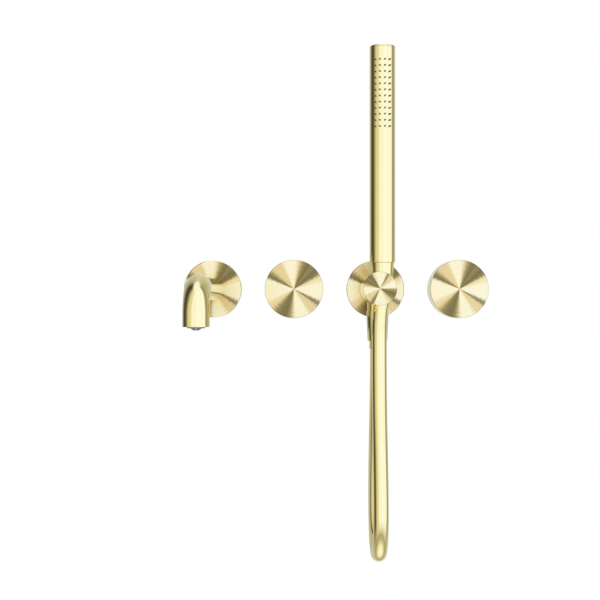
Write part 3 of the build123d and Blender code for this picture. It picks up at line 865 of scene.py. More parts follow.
# ------------------------------------------------------------------ repeated pieces
@dataclass
class Repeater(NodeTree):
    """A Geometry Nodes tree that sets copies of a small piece at the places that a rule gives."""

    name: str
    sizes: dict[str, float]
    rule: Callable[[Repeater], tuple[Socket, Socket]]

    def triple(self, *values: object) -> Socket:
        """Return a vector of three numbers or sockets."""
        return self.node("ShaderNodeCombineXYZ", dict(enumerate(values))).outputs[0]

    def size(self, name: str) -> Socket:
        """Return the named input of the tree."""
        return self.entry.outputs[name]

    def build(self, copy: Piece, finish: Material) -> Piece:
        """Make the copies.

        Args:
            copy: The piece to repeat, at its own origin, which is removed afterwards.
            finish: The material of every copy.

        Returns:
            One plain mesh of all the copies.
        """
        self.tree = bpy.data.node_groups.new(self.name, "GeometryNodeTree")
        face = self.tree.interface
        face.new_socket("Geometry", in_out="OUTPUT", socket_type="NodeSocketGeometry")
        kinds = {**dict.fromkeys(self.sizes, "Float"), "Copy": "Object", "Finish": "Material"}
        ids = {
            name: face.new_socket(name, in_out="INPUT", socket_type=f"NodeSocket{kind}").identifier
            for name, kind in kinds.items()
        }
        self.entry = self.node("NodeGroupInput")
        count = self.number("MULTIPLY", self.size("Columns"), self.size("Rows"))
        row = self.node("GeometryNodeMeshLine", {"Count": count})
        place, rotation = self.rule(self)
        fill = {"Geometry": row.outputs[0], "Position": place}
        moved = self.node("GeometryNodeSetPosition", fill)
        fill = {"Object": self.size("Copy")}
        info = self.node("GeometryNodeObjectInfo", fill, transform_space="ORIGINAL")
        fill = {
            "Points": moved.outputs[0], "Instance": info.outputs["Geometry"], "Rotation": rotation,
        }
        spread = self.node("GeometryNodeInstanceOnPoints", fill)
        real = self.node("GeometryNodeRealizeInstances", {0: spread.outputs[0]})
        fill = {"Geometry": real.outputs[0], "Material": self.size("Finish")}
        dressed = self.node("GeometryNodeSetMaterial", fill)
        self.node("NodeGroupOutput", {0: dressed.outputs[0]})
        holder = linked(self.name, bpy.data.meshes.new(self.name))
        modifier = holder.modifiers.new(self.name, "NODES")
        modifier.node_group = self.tree
        for name, value in (*self.sizes.items(), ("Copy", copy), ("Finish", finish)):
            modifier[ids[name]] = value
        evaluated(holder)
        discard(copy)
        return holder


def column_and_row(tree: Repeater) -> tuple[Socket, Socket]:
    """Return each point's column and row, counted from the middle of the field."""
    index = tree.node("GeometryNodeInputIndex").outputs[0]
    column = tree.number("FLOORED_MODULO", index, tree.size("Columns"))
    row = tree.number("FLOOR", tree.number("DIVIDE", index, tree.size("Columns")))
    half_columns, half_rows = (
        tree.number("DIVIDE", tree.number("SUBTRACT", tree.size(name), 1.0), 2.0)
        for name in ("Columns", "Rows")
    )
    return tree.number("SUBTRACT", column, half_columns), tree.number("SUBTRACT", row, half_rows)


def round_the_tube(tree: Repeater) -> tuple[Socket, Socket]:
    """Place copies in rows round the front of an upright tube, each one facing outwards."""
    column, row = column_and_row(tree)
    turn = tree.number("MULTIPLY", column, tree.size("Step Angle"))
    angle = tree.number("ADD", turn, tree.size("Facing"))
    x = tree.number("MULTIPLY", tree.number("SINE", angle), tree.size("Radius"))
    y = tree.number("MULTIPLY", tree.number("COSINE", angle), tree.size("Radius"))
    z = tree.number("MULTIPLY", row, tree.size("Step Height"))
    place = tree.triple(
        tree.number("ADD", tree.size("Centre X"), x),
        tree.number("SUBTRACT", tree.size("Centre Y"), y),
        tree.number("SUBTRACT", tree.size("Centre Z"), z),
    )
    return place, tree.triple(0.0, 0.0, angle)


def over_a_plate(tree: Repeater) -> tuple[Socket, Socket]:
    """Place copies in an upright grid, each one turned a little further than the last."""
    column, row = column_and_row(tree)
    x = tree.number("MULTIPLY", column, tree.size("Step X"))
    place = tree.triple(
        tree.number("ADD", tree.size("Centre X"), x),
        tree.size("Centre Y"),
        tree.number("MULTIPLY", row, tree.size("Step Z")),
    )
    turn = tree.number("MULTIPLY", tree.number("ADD", column, row), 0.9)
    return place, tree.triple(0.0, turn, 0.0)


def in_a_ring(tree: Repeater) -> tuple[Socket, Socket]:
    """Place copies evenly round an upright axis."""
    index = tree.node("GeometryNodeInputIndex").outputs[0]
    angle = tree.number("MULTIPLY", index, tree.number("DIVIDE", ROUND, tree.size("Columns")))
    x = tree.number("MULTIPLY", tree.number("COSINE", angle), tree.size("Radius"))
    y = tree.number("MULTIPLY", tree.number("SINE", angle), tree.size("Radius"))
    place = tree.triple(
        tree.number("ADD", tree.size("Centre X"), x),
        tree.number("ADD", tree.size("Centre Y"), y),
        tree.size("Centre Z"),
    )
    return place, tree.triple(0.0, 0.0, angle)


# ------------------------------------------------------------------ sub-assemblies
@dataclass
class SubAssembly:
    """What every sub-assembly shares: its palette and the way it hands over a piece."""

    palette: Palette

    def hand_over(
        self, piece: Piece, body: Body, slot: Slot, finish: object | None, *nodes: str
    ) -> Piece:
        """Dress a piece and fix it to its body.

        Args:
            piece: The finished mesh.
            body: The CAD body that it moves with.
            slot: The record's material slot; not used.
            finish: Its finish, or None where it is dressed already.
            nodes: The CAD nodes that it stands for.

        Returns:
            The piece.
        """
        if finish is not None:
            piece.data.materials.clear()
            piece.data.materials.append(self.palette.get(finish))
        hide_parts(*nodes)
        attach(piece, body.value)
        LOG.info("%s: %d faces, rides on %s", piece.name, len(piece.data.polygons), body.value)
        return piece

    def face_and_edge(self, piece: Piece, face: object) -> None:
        """Give a turned disc its face finish in front and polish everywhere else.

        Args:
            piece: The disc, whose front looks along -Y.
            face: The finish of the front.
        """
        piece.data.materials.clear()
        piece.data.materials.append(self.palette.get(POLISHED))
        piece.data.materials.append(self.palette.get(face))
        front = min(vertex.co.y for vertex in piece.data.vertices)
        straight_on, skin = -0.8, 0.3 * MM
        for polygon in piece.data.polygons:
            forward = polygon.normal.y < straight_on and polygon.center.y < front + skin
            polygon.material_index = int(forward)


@dataclass
class Rose(SubAssembly):
    """A turned rose that lies on the wall round one station of the row."""

    station: str
    x: float
    bore: float
    thick: float
    radius: float = 30.0
    chamfer: float = 0.5
    groove_inner: float = 23.9
    groove_outer: float = 28.1
    groove_deep: float = 3.0

    def build(self) -> Piece:
        """Build the rose with its chamfered front edge and the gasket's groove behind."""
        deep, soft = self.thick, 0.12
        outline = [
            (self.bore, 0, soft),
            (self.groove_inner, 0),
            (self.groove_inner, self.groove_deep),
            (self.groove_outer, self.groove_deep),
            (self.groove_outer, 0),
            (self.radius, 0, soft),
            (self.radius, deep - self.chamfer, soft),
            (self.radius - self.chamfer, deep, soft),
            (self.bore, deep, 0.02),
        ]
        name = f"{self.station}_wall_rose"
        piece = turned(name, level(self.x), outline, 224)
        self.face_and_edge(piece, TurnedGold(f"{name}_face", self.x))
        return self.hand_over(piece, Body.ROOT, Slot.TURNED, None, f"{self.station}_rose")


@dataclass
class DiscKnob(SubAssembly):
    """A disc knob: a turned cup on a splined hub, with the key's hole underneath."""

    station: str
    x: float
    body: Body
    radius: float = 30.0
    front: float = 30.0
    back: float = 8.0
    face: float = 5.0
    wall: float = 3.5
    hub: float = 9.0
    socket: float = 4.6
    socket_end: float = 22.5
    key_hole: float = 3.0
    key_depth: float = 17.0
    screw_bore: float = 2.55

    def build(self) -> Piece:
        """Build the cup and drill the hole for the grub screw's key."""
        cup = self.radius - self.wall
        behind = self.front - self.face
        outline = [
            (0, self.front),
            (self.radius, self.front, 0.35),
            (self.radius, self.back, 0.35),
            (cup, self.back, 0.2),
            (cup, behind, 0.8),
            (self.hub, behind, 0.8),
            (self.hub, self.back + 1, 0.2),
            (self.socket, self.back + 1, 0.2),
            (self.socket, self.socket_end),
            (0, self.socket_end),
        ]
        piece = turned(f"{self.station}_disc_knob", level(self.x), outline, 256)
        key = bar(upright(self.x, -self.key_depth), self.key_hole, -self.radius - 1, -cup + 1)
        screw = bar(upright(self.x, -self.key_depth), self.screw_bore, -10, -3)
        cut(piece, [key, screw])
        self.face_and_edge(piece, TurnedGold(f"{self.station}_knob_face", self.x))
        return self.hand_over(piece, self.body, Slot.TURNED, None, f"{self.station}_knob")


@dataclass
class Spout(SubAssembly):
    """The bent spout, its aerator's lip and the jet core in its mouth."""

    radius: float = 12.0
    bore: float = 10.0
    reach: float = 200.0
    bend: float = 26.0
    drop: float = 35.0
    jets: int = 8
    jet_ring: float = 3.0
    jet_radius: float = 0.5

    def spine(self) -> Spine:
        """Return the centre line: out of the wall, round the bend and down."""
        turn_at = self.reach - self.bend
        points = [(SPOUT_X, 0.0, 0.0)]
        steps = 72
        for step in range(steps + 1):
            angle = math.radians(90 * step / steps)
            y = -turn_at - self.bend * math.sin(angle)
            points.append((SPOUT_X, y, -self.bend * (1 - math.cos(angle))))
        points.append((SPOUT_X, -self.reach, -self.drop))
        return Spine(np.array(points), (1.0, 0.0, 0.0))

    def build(self) -> list[Piece]:
        """Build the tube, the housing's lip and the core with its ring of jets."""
        spine = self.spine()
        end = float(spine.way[-1])
        outline = [
            (self.bore, 0),
            (self.radius, 0, 0.3),
            (self.radius, end, 0.45),
            (self.bore, end, 0.15),
        ]
        tube = turned("spout_arch", spine, outline, 160, step=1.2, corner=6)
        cut(tube, [bar(upright(SPOUT_X, -14), GRUB_HOLE, -14, -7)])
        self.hand_over(tube, Body.ROOT, Slot.POLISHED, SPOUT_GOLD, "spout_tube")
        mouth = upright(SPOUT_X, -self.reach)
        lip = [
            (8.2, -24), (9.9, -24, 0.2), (9.9, -34.6, 0.1), (7.9, -34.6, 0.1), (7.9, -35.8, 0.2),
            (7.5, -36.1, 0.1), (5.0, -36.1, 0.2), (5.0, -33.5), (8.2, -33.5),
        ]
        housing = turned("aerator_lip", mouth, lip, 96)
        self.hand_over(housing, Body.ROOT, Slot.GREY, GREY, "aerator_housing")
        core = [
            (0, -29.5), (8.1, -29.5), (8.1, -33.3), (4.9, -33.3), (4.9, -36.3, 0.15),
            (1.8, -38.2, 0.15), (0, -38.2),
        ]
        insert = turned("aerator_core", mouth, core, 96)
        slot_low = (SPOUT_X - 0.75, -self.reach - 6, -40.0)
        slot_high = (SPOUT_X + 0.75, -self.reach + 6, -35.9)
        holes = []
        for angle in np.arange(self.jets) * ROUND / self.jets:
            x = SPOUT_X + self.jet_ring * math.cos(angle)
            y = -self.reach + self.jet_ring * math.sin(angle)
            holes.append(bar(upright(x, y), self.jet_radius, -39, -31, 16))
        cut(insert, [block(slot_low, slot_high), merged("tool", holes)])
        hole = self.jet_radius
        ring = [(hole, -0.12), (hole, 0.5), (0.72, 0.5), (0.72, -0.12, 0.1)]
        rim = turned("jet_rim", upright(0, 0), ring, 16)
        sizes = {
            "Columns": float(self.jets), "Rows": 1.0, "Radius": self.jet_ring * MM,
            "Centre X": SPOUT_X * MM, "Centre Y": -self.reach * MM, "Centre Z": -37.45 * MM,
        }
        rims = Repeater("aerator_jets", sizes, in_a_ring).build(rim, self.palette.get(GREY))
        whole = merged("aerator_core", [insert, rims])
        self.hand_over(whole, Body.ROOT, Slot.GREY, GREY, "aerator_insert")
        return [tube, housing, whole]


@dataclass
class Bracket(SubAssembly):
    """The round arm with its hose outlet and the open conical seat of the hand shower."""

    radius: float = 16.75
    front: float = 79.5
    outlet_radius: float = 10.5
    outlet_bottom: float = -22.4
    thread_radius: float = 10.43
    thread_end: float = -34.4
    seat_bottom: float = 3.0
    liner: float = 0.9
    slot: float = 16.6
    nipple_bore: float = 7.55
    waterway: float = 6.0
    valve_bore: float = 7.6
    seat_bore: float = 10.4

    def build(self) -> Piece:
        """Build the arm, with its waterway, seat and slot cut out of it."""
        spine = level(BRACKET_X)
        outline = [(0, 0), (self.radius, 0, 0.3), (self.radius, self.front, 0.45), (0, self.front)]
        arm = turned("bracket_round_arm", spine, outline, 192, corner=5)
        below = upright(BRACKET_X, OUTLET_Y)
        stub = [
            (0, -5), (self.outlet_radius, -5), (self.outlet_radius, self.outlet_bottom, 0.2),
            (self.thread_radius, self.outlet_bottom), (self.thread_radius, self.thread_end, 0.8),
            (0, self.thread_end),
        ]
        cut(arm, [turned("tool", below, stub, 96)], "UNION")
        seat = upright(SEAT_X, SEAT_Y)
        clear = self.liner + 0.06
        low = HAND_NUT.radius_at(self.seat_bottom) + clear
        high = HAND_NUT.radius_at(20.0) + clear
        cone = [(0, self.seat_bottom), (low, self.seat_bottom), (high, 20), (0, 20)]
        half = self.slot / 2 + self.liner
        tools = [
            bar(spine, self.nipple_bore, -1, 24.3),
            bar(spine, self.waterway, 20, 40),
            bar(below, self.valve_bore, self.thread_end - 1, 0),
            bar(upright(BRACKET_X, -15), GRUB_HOLE, -20, -6),
            bar(seat, self.seat_bore, -20, self.seat_bottom + 0.01, 96),
            turned("tool", seat, cone, 96),
            block((SEAT_X, SEAT_Y - half, -30.0), (SEAT_X + 30, SEAT_Y + half, 30.0)),
        ]
        for tool in tools:
            cut(arm, [tool])
        face = TurnedGold("bracket_end_face", BRACKET_X, turn=90.0, radius=self.radius)
        self.face_and_edge(arm, face)
        return self.hand_over(arm, Body.ROOT, Slot.POLISHED, None, "bracket_arm")


@dataclass
class ValveSpring(SubAssembly):
    """The check valve's spring, built at one length between the arm and the poppet; the real spring
    is pressed together as the poppet opens.
    """

    coil_radius: float = 2.4
    wire_radius: float = 0.4
    low: float = -30.05
    high: float = -19.75
    open_turns: float = 5.0
    closed_turns: float = 0.75
    steps: int = 24

    def build(self) -> Piece:
        """Wind the spring with closed ends, from the arm up to the poppet."""
        total = self.open_turns + 2 * self.closed_turns
        closed = self.closed_turns * 2.1 * self.wire_radius
        turn = np.linspace(0.0, total, round(total * self.steps) + 1)
        stops = (0.0, self.closed_turns, total - self.closed_turns, total)
        heights = (self.low, self.low + closed, self.high - closed, self.high)
        height = np.interp(turn, stops, heights)
        x = BRACKET_X + self.coil_radius * np.cos(turn * ROUND)
        y = OUTLET_Y + self.coil_radius * np.sin(turn * ROUND)
        spine = Spine(np.stack([x, y, height], axis=1), (1.0, 0.0, 0.0))
        end = float(spine.way[-1])
        outline = [(0, 0), (self.wire_radius, 0, 0.1), (self.wire_radius, end, 0.1), (0, end)]
        coil = turned("valve_spring_coil", spine, outline, 10, step=0.6)
        coil.data.materials.append(self.palette.get(STEEL))
        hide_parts("check_valve_spring")
        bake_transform(coil)
        return coil


@dataclass(frozen=True)
class ConeNut:
    """The sizes of a conical hose nut."""

    top: float
    length: float
    thread: float
    chamber: float
    top_radius: float = 11.4
    taper: float = 0.046
    bore: float = 6.9
    thread_bore: float = 10.48
    chamber_radius: float = 9.1
    pitch: float = 1.8
    ridge: float = 0.12

    def radius_at(self, height: float) -> float:
        """Return the outer radius at a height."""
        return self.top_radius - self.taper * (self.top - height)

    def outline(self) -> Outline:
        """Return the nut's outline, with the thread cut as fine ridges."""
        bottom = self.top - self.length
        ridges: list[tuple[float, ...]] = []
        turns = int(self.thread / self.pitch)
        for k in range(turns):
            z = self.top - 0.6 - self.pitch * k
            ridges += [(self.thread_bore, z), (self.thread_bore - self.ridge, z - 0.9)]
        thread_end = self.top - self.thread
        return [
            (self.thread_bore, self.top, 0.1),
            *ridges,
            (self.thread_bore, thread_end),
            (self.chamber_radius, thread_end),
            (self.chamber_radius, thread_end - self.chamber),
            (self.bore, thread_end - self.chamber),
            (self.bore, bottom, 0.2),
            (self.radius_at(bottom), bottom, 0.35),
            (self.top_radius, self.top, 0.3),
        ]


HAND_NUT = ConeNut(25.9, 22.9, 10.3, 5.5)
WALL_NUT = ConeNut(-22.4, 30.3, 12.1, 6.0)


@dataclass
class HoseRun(SubAssembly):
    """The shower hose with its conical nuts and pressed ferrules."""

    radius: float = 7.5
    ferrule_radius: float = 8.3
    ferrule_bore: float = 6.88
    length_m: float = 0.52
    outlet_end: float = -61.0
    route: tuple[Point, ...] = (
        (40.0, -61.0, 0.0),
        (40.0, -80.0, 0.0),
        (34.5, -104.0, 0.0),
        (20.0, -150.0, 0.0),
        (6.5, -206.0, 0.0),
        (14.5, -250.8, 0.0),
        (42.0, -269.4, 0.0),
        (76.0, -261.8, 0.0),
        (93.0, -231.0, 0.0),
        (88.5, -188.0, 0.0),
        (70.0, -126.0, 0.0),
        (64.5, -67.0, 0.0),
        (65.5, -25.0, 0.1),
        (66.0, -11.0, 3.2),
        (66.0, -4.0, 3.2),
    )

    def line(self) -> np.ndarray:
        """Return the points of the smooth line through the route, in metres."""
        curve = bpy.data.curves.new("hose_line", "CURVE")
        curve.dimensions = "3D"
        spline = curve.splines.new("NURBS")
        spline.points.add(len(self.route) - 1)
        for point, (depth, height, shift) in zip(spline.points, self.route):
            point.co = ((BRACKET_X + shift) * MM, -depth * MM, height * MM, 1.0)
        spline.order_u = 3
        spline.use_endpoint_u = True
        spline.resolution_u = 18
        bare = bpy.data.objects.new("hose_line", curve)
        mesh = bpy.data.meshes.new_from_object(bare)
        points = np.array([vertex.co for vertex in mesh.vertices], float)
        bpy.data.meshes.remove(mesh)
        bpy.data.curves.remove(curve)
        gaps = np.linalg.norm(np.diff(points, axis=0), axis=1)
        return points[np.concatenate([[True], gaps > TINY])]

    def ferrule(self, name: str, spine: Spine, top: float, bottom: float) -> Piece:
        """Return a pressed sleeve with a rolled edge and two crimped rings."""
        outer, pinch = self.ferrule_radius, self.ferrule_radius - 0.18
        middle = (top + bottom) / 2
        outline = [
            (self.ferrule_bore, top), (outer, top, 0.4),
            (outer, middle + 1.3, 0.3), (pinch, middle + 0.9, 0.3), (pinch, middle + 0.6, 0.3),
            (outer, middle + 0.2, 0.3), (outer, middle - 0.2, 0.3), (pinch, middle - 0.6, 0.3),
            (pinch, middle - 0.9, 0.3), (outer, middle - 1.3, 0.3),
            (outer, bottom, 0.5), (self.ferrule_bore, bottom),
        ]
        return turned(name, spine, outline, 112)

    def build(self) -> list[Piece]:
        """Build the hose along its line, both nuts and both ferrules."""
        points = self.line()
        spine = Spine(points / MM, (1.0, 0.0, 0.0))
        end = float(spine.way[-1])
        outline = [(0, 0), (self.radius, 0, 0.1), (self.radius, end, 0.1), (0, end)]
        hose = turned("hose_jacket_run", spine, outline, 72, step=2.0)
        hose.data.materials.append(self.palette.get(HOSE_SKIN))
        wall, hand = upright(BRACKET_X, OUTLET_Y), upright(SEAT_X, SEAT_Y)
        wall_bottom = WALL_NUT.top - WALL_NUT.length
        lower = self.ferrule("outlet_ferrule", wall, wall_bottom, self.outlet_end)
        upper = self.ferrule("hand_ferrule", hand, 2.7, -4.0)
        self.hand_over(lower, Body.ROOT, Slot.POLISHED, POLISHED, "wall_hose_ferrule")
        self.hand_over(upper, Body.HOSE_END, Slot.POLISHED, POLISHED, "hand_hose_ferrule")
        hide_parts("shower_hose")
        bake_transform(hose)
        LOG.info("hose_jacket_run: %.1f mm along its line", end)
        nuts = []
        for name, nut, line, body, node in (
            ("outlet_cone_nut", WALL_NUT, wall, Body.ROOT, "wall_hose_nut"),
            ("hand_cone_nut", HAND_NUT, hand, Body.HAND_SHOWER, "hand_hose_nut"),
        ):
            piece = turned(name, line, nut.outline(), 160)
            nuts.append(self.hand_over(piece, body, Slot.POLISHED, POLISHED, node))
        return [hose, lower, upper, *nuts]


@dataclass
class HandShower(SubAssembly):
    """The stick hand shower: drilled tube, rounded end cap and soft nozzles."""

    radius: float = 12.65
    bore: float = 11.15
    bottom: float = 26.0
    cap_bottom: float = 239.3
    top: float = 241.0
    columns: int = 4
    rows: int = 12
    column_angle: float = 22.5
    facing: float = -4.2
    row_pitch: float = 6.0
    first_row: float = 226.0
    hole: float = 0.9
    tip: float = 0.8
    tip_reach: float = 1.8
    strip_inner: float = 9.3
    strip_angle: float = 48.0

    def middle_row(self) -> float:
        """Return the height of the middle of the nozzle field."""
        return self.first_row - self.row_pitch * (self.rows - 1) / 2

    def build_tube(self) -> Piece:
        """Build the tube and drill the nozzles' holes."""
        spine = upright(SEAT_X, SEAT_Y)
        end = self.cap_bottom - 0.05
        outline = [
            (self.bore, self.bottom, 0.15), (self.radius, self.bottom, 0.3),
            (self.radius, end, 0.35), (self.bore, end),
        ]
        tube = turned("shower_stick_tube", spine, outline, 192)
        drills = []
        for column in range(self.columns):
            turn = self.facing + self.column_angle * (column - (self.columns - 1) / 2)
            angle = math.radians(turn)
            for row in range(self.rows):
                z = self.first_row - self.row_pitch * row
                line = Spine.straight((SEAT_X, SEAT_Y, z), (math.sin(angle), -math.cos(angle), 0.0))
                line = Spine(line.points, (0.0, 0.0, 1.0), line.start)
                drills.append(bar(line, self.hole, self.bore - 1, self.radius + 1, 28))
        cut(tube, [merged("tool", drills)])
        return self.hand_over(tube, Body.HAND_SHOWER, Slot.POLISHED, POLISHED, "handle_tube")

    def build_cap(self) -> Piece:
        """Build the cap that closes the top, with its groove for the seal."""
        plug = self.bore - 0.03
        outline = [
            (0, 233.5), (plug, 233.5, 0.2), (plug, 235.7), (9.9, 235.7), (9.9, 237.3),
            (plug, 237.3), (plug, self.cap_bottom), (self.radius, self.cap_bottom, 0.3),
            (self.radius, self.top, 1.3), (0, self.top),
        ]
        cap = turned("shower_stick_cap", upright(SEAT_X, SEAT_Y), outline, 192, corner=8)
        return self.hand_over(cap, Body.HAND_SHOWER, Slot.POLISHED, POLISHED, "end_cap")

    def build_nozzles(self) -> Piece:
        """Build the curved strip and set one soft tip in every hole of the tube."""
        line = Spine(level(0.0).points, (0.0, 0.0, 1.0), level(0.0).start)
        outline = [
            (0.0, -3.0), (self.tip, -3.0), (self.tip, self.tip_reach, 0.3),
            (0.35, self.tip_reach, 0.1), (0.35, self.tip_reach - 1.4), (0.0, self.tip_reach - 1.4),
        ]
        tip = turned("tip", line, outline, 24)
        sizes = {
            "Columns": float(self.columns), "Rows": float(self.rows),
            "Step Angle": math.radians(self.column_angle), "Step Height": self.row_pitch * MM,
            "Facing": math.radians(self.facing),
            "Radius": self.radius * MM,
            "Centre X": SEAT_X * MM, "Centre Y": SEAT_Y * MM, "Centre Z": self.middle_row() * MM,
        }
        tips = Repeater("nozzle_tips", sizes, round_the_tube).build(tip, self.palette.get(TIPS))
        strip = self.strip()
        whole = merged("soft_nozzles", [strip, tips])
        return self.hand_over(whole, Body.HAND_SHOWER, Slot.SILICONE, TIPS, "nozzle_strip")

    def strip(self) -> Piece:
        """Return the curved strip that carries the tips behind the tube's front."""
        half = self.row_pitch * (self.rows - 1) / 2 + 6
        low, high = self.middle_row() - half, self.middle_row() + half
        mesh = bmesh.new()
        steps = 33
        angles = np.radians(np.linspace(-self.strip_angle, self.strip_angle, steps))
        loops = []
        for z in (low, high):
            ring = []
            for radius in (self.bore - 0.05, self.strip_inner):
                outside = radius > self.strip_inner
                for angle in angles if outside else angles[::-1]:
                    x, y = SEAT_X + radius * math.sin(angle), SEAT_Y - radius * math.cos(angle)
                    ring.append(mesh.verts.new((x * MM, y * MM, z * MM)))
            loops.append(ring)
        below, above = loops
        count = len(below)
        for i in range(count):
            j = (i + 1) % count
            mesh.faces.new((below[i], below[j], above[j], above[i]))
        for ring in loops:
            for i in range(steps - 1):
                mesh.faces.new((ring[i], ring[i + 1], ring[count - 2 - i], ring[count - 1 - i]))
        return finished("strip", mesh)


@dataclass
class ConcealedWorks(SubAssembly):
    """What is inside the wall and inside the fittings: carried over and given its finish."""

    plate_back: float = 95.0
    screw_x: float = 11.0
    screw_step_x: float = 302.0
    screw_step_z: float = 24.0

    def dress(self) -> None:
        """Give every carried-over CAD node the finish of its slot in the record."""
        for part in frame["record"]["subparts"]:
            data = frame["nodes"][part["node"]].data
            cast = part["node"] == "concealed_body"
            finish = CastBrass() if cast else CAD_FINISHES[part["material_slot"]]
            data.materials.clear()
            data.materials.append(self.palette.get(finish))
            low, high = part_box(part["node"])
            frame["nodes"][part["node"]].visible_glossy = low.y + high.y < 0
        LOG.info("dressed %d CAD nodes", len(frame["nodes"]))

    def build_screws(self) -> Piece:
        """Build the pan-head screws that hold the body to its plate."""
        back = self.plate_back
        head = level(0.0)
        shank: list[tuple[float, ...]] = []
        for k in range(16):
            shank += [(2.5, -1.0 + 0.8 * k), (2.2, -0.6 + 0.8 * k)]
        outline = [
            (0, 13.0), *reversed(shank), (2.5, 0.0), (4.6, 0.0, 0.2), (4.3, -2.4, 0.7), (0, -2.4),
        ]
        screw = turned("screw", head, outline, 40)
        long, half, low, high = 2.0, 0.35, 0.9, 3.0
        for x, z in ((long, half), (half, long)):
            cut(screw, [block((-x, low, -z), (x, high, z))])
        sizes = {
            "Columns": 2.0, "Rows": 2.0, "Centre X": self.screw_x * MM, "Centre Y": back * MM,
            "Step X": self.screw_step_x * MM, "Step Z": self.screw_step_z * MM,
        }
        steel = self.palette.get(STEEL)
        screws = Repeater("plate_pan_screws", sizes, over_a_plate).build(screw, steel)
        smooth(screws.data)
        screws.visible_glossy = False
        return self.hand_over(screws, Body.ROOT, Slot.STAINLESS, STEEL, "plate_screws")


# ------------------------------------------------------------------ studio
def upright_corners(left: float, right: float, low: float, high: float, y: float) -> list[Point]:
    """Return the corners of an upright sheet that faces the room, in metres."""
    return [(left, y, low), (right, y, low), (right, y, high), (left, y, high)]


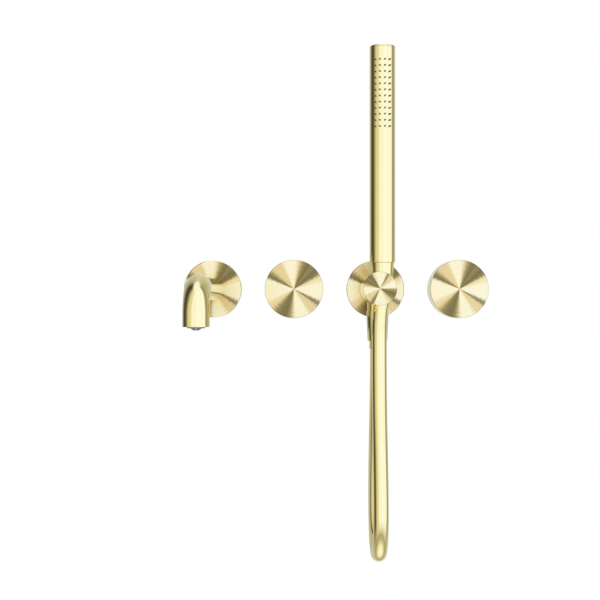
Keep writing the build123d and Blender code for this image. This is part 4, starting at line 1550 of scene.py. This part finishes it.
@dataclass
class Studio:
    """A white wall and floor, a camera in front of the row, and a soft surround to reflect."""

    camera_m: Point = (-0.0363, -1.2, -0.0113)
    lens: float = 68.4
    surround: tuple[tuple[float, Colour], ...] = (
        (-180, (0.78, 0.78, 0.78)),
        (-168, (0.66, 0.67, 0.7)),
        (-144, (0.55, 0.56, 0.6)),
        (-129, (0.34, 0.34, 0.35)),
        (-119, (0.13, 0.13, 0.13)),
        (-112, (0.075, 0.075, 0.067)),
        (-99, (0.075, 0.075, 0.067)),
        (-91, (0.13, 0.13, 0.12)),
        (-81, (0.30, 0.30, 0.28)),
        (-70, (0.65, 0.64, 0.58)),
        (-60, (0.87, 0.86, 0.82)),
        (-42, (0.91, 0.90, 0.86)),
        (-37, (0.98, 0.99, 1.1)),
        (-30, (1.14, 1.23, 1.75)),
        (-22, (1.16, 1.25, 1.83)),
        (-15, (1.1, 1.15, 1.5)),
        (-7, (1.15, 1.24, 1.8)),
        (12, (1.16, 1.25, 1.83)),
        (22, (1.12, 1.36, 2.4)),
        (32, (1.15, 1.27, 1.9)),
        (87, (1.16, 1.25, 1.83)),
        (92, (0.42, 0.42, 0.40)),
        (106, (0.38, 0.38, 0.36)),
        (119, (0.5, 0.5, 0.5)),
        (142, (0.62, 0.63, 0.66)),
        (180, (0.78, 0.78, 0.78)),
    )
    above_and_below: tuple[tuple[float, Colour, float], ...] = (
        (-1.0, (1.16, 1.22, 1.7), 1.0),
        (-0.96, (1.12, 1.18, 1.6), 1.0),
        (-0.9, (0.9, 0.9, 0.92), 1.0),
        (-0.82, (0.6, 0.6, 0.55), 1.0),
        (-0.72, (0.42, 0.42, 0.38), 0.9),
        (-0.6, (0.66, 0.66, 0.6), 0.7),
        (-0.45, (0.85, 0.85, 0.8), 0.25),
        (-0.34, (0.85, 0.85, 0.85), 0.0),
        (0.9, (1.16, 1.25, 1.83), 0.0),
        (0.985, (1.16, 1.25, 1.83), 1.0),
        (1.0, (1.16, 1.25, 1.83), 1.0),
    )
    peak: float = 2.4

    def build_camera(self) -> None:
        """Make the camera, level and square to the wall."""
        data = bpy.data.cameras.new("front_camera")
        data.lens = self.lens
        data.sensor_width = 36.0
        data.clip_end = 100.0
        camera = linked("front_camera", data)
        camera.location = self.camera_m
        camera.rotation_euler = (math.pi / 2, 0.0, 0.0)
        bpy.context.scene.camera = camera

    def build_surround(self) -> None:
        """Make the surround: strips round the horizon, a light ceiling and a banded ground."""
        world = bpy.data.worlds.new("surround")
        world.use_nodes = True
        bpy.context.scene.world = world
        nodes = NodeTree(world.node_tree)
        x, y, z = nodes.split(nodes.node("ShaderNodeTexCoord").outputs["Generated"])
        angle = nodes.number("ARCTAN2", x, nodes.number("MULTIPLY", y, -1.0))
        share = nodes.number("MULTIPLY_ADD", angle, 1 / ROUND, 0.5)
        dim = 1 / self.peak
        strips = nodes.ramp(share, [((a + 180) / 360, scaled(c, dim)) for a, c in self.surround])
        height = nodes.number("MULTIPLY_ADD", z, 0.5, 0.5)
        rows = [((a + 1) / 2, scaled(c, dim), cover) for a, c, cover in self.above_and_below]
        layers = nodes.ramp(height, rows)
        colour = nodes.mix("MIX", layers.node.outputs["Alpha"], strips, layers)
        glow = nodes.node("ShaderNodeBackground", {"Color": colour, "Strength": self.peak})
        white = nodes.node("ShaderNodeBackground", {"Color": (1.0, 1.0, 1.0)})
        glossy = nodes.node("ShaderNodeLightPath").outputs["Is Glossy Ray"]
        fill = {0: glossy, 1: white.outputs[0], 2: glow.outputs[0]}
        choice = nodes.node("ShaderNodeMixShader", fill)
        nodes.node("ShaderNodeOutputWorld", {"Surface": choice.outputs[0]})

    def sheet(
        self, name: str, corners: Sequence[Point], material: Material
    ) -> Piece:
        """Add one flat sheet of the set, which casts no shadow and isn't seen in reflections.

        Args:
            name: The object's name.
            corners: Its corners in metres, counter-clockwise from the side that faces the room.
            material: Its material.

        Returns:
            The sheet.
        """
        data = bpy.data.meshes.new(name)
        data.from_pydata(corners, [], [tuple(range(len(corners)))])
        data.materials.append(material)
        piece = linked(name, data)
        piece.visible_glossy = False
        piece.visible_shadow = False
        return piece

    def wall_paint(self, name: str = "wall_white", strength: float = 1.0) -> Material:
        """Return a plain white that glows into the room and can't be seen from behind."""
        material = bpy.data.materials.new(name)
        material.use_nodes = True
        nodes = NodeTree(material.node_tree)
        glow = nodes.node("ShaderNodeEmission", {"Strength": strength})
        clear = nodes.node("ShaderNodeBsdfTransparent")
        behind = nodes.node("ShaderNodeNewGeometry").outputs["Backfacing"]
        fill = {0: behind, 1: glow.outputs[0], 2: clear.outputs[0]}
        choice = nodes.node("ShaderNodeMixShader", fill)
        nodes.node("ShaderNodeOutputMaterial", {"Surface": choice.outputs[0]})
        return material

    def build_set(self) -> None:
        """Make the wall, the floor, the card that reflections show, and one soft lamp."""
        wide, low, high, room = 2.5, -0.9, 2.2, 4.0
        paint = self.wall_paint()
        self.sheet("wall_sheet", upright_corners(-wide, wide, low, high, 0.0003), paint)
        graph = Graph("floor_pale")
        graph.look(base_color=(0.93, 0.93, 0.925), roughness=0.7)
        floor = [(-wide, -room, low), (wide, -room, low), (wide, room, low), (-wide, room, low)]
        self.sheet("floor_sheet", floor, graph.material)
        corners = upright_corners(-0.1, 0.034, -0.3, -0.05, 0.0002)
        card = self.sheet("wall_card", corners, self.wall_paint("wall_reflected", 0.6))
        card.visible_camera = card.visible_diffuse = False
        card.visible_glossy = True
        data = bpy.data.lights.new("soft_lamp", "AREA")
        data.shape = "DISK"
        data.size = 1.6
        data.energy = 8.0
        lamp = linked("soft_lamp", data)
        lamp.location = (-0.5, -1.4, 1.6)
        lamp.rotation_euler = (-lamp.location).to_track_quat("-Z", "Y").to_euler()
        lamp.visible_glossy = False

    def build(self) -> None:
        """Build the whole studio."""
        self.build_camera()
        self.build_surround()
        self.build_set()
        bpy.context.scene.view_settings.view_transform = "Standard"


def main() -> None:
    """Build the studio and every sub-assembly in order."""
    logging.basicConfig(level=logging.INFO, format="%(name)s: %(message)s")
    Studio().build()
    palette = Palette()
    works = ConcealedWorks(palette)
    works.dress()
    HoseRun(palette).build()
    for station, x, bore, thick in (
        ("spout", SPOUT_X, 12.02, 9.0),
        ("diverter", DIVERTER_X, 9.05, 7.5),
        ("bracket", BRACKET_X, 16.77, 9.0),
        ("mixer", MIXER_X, 9.05, 7.5),
    ):
        Rose(palette, station, x, bore, thick).build()
    for station, x, body in (
        ("diverter", DIVERTER_X, Body.DIVERTER),
        ("mixer", MIXER_X, Body.MIXER),
    ):
        DiscKnob(palette, station, x, body).build()
    Spout(palette).build()
    Bracket(palette).build()
    ValveSpring(palette).build()
    shower = HandShower(palette)
    shower.build_tube()
    shower.build_cap()
    shower.build_nozzles()
    works.build_screws()


if __name__ == "__main__":
    main()
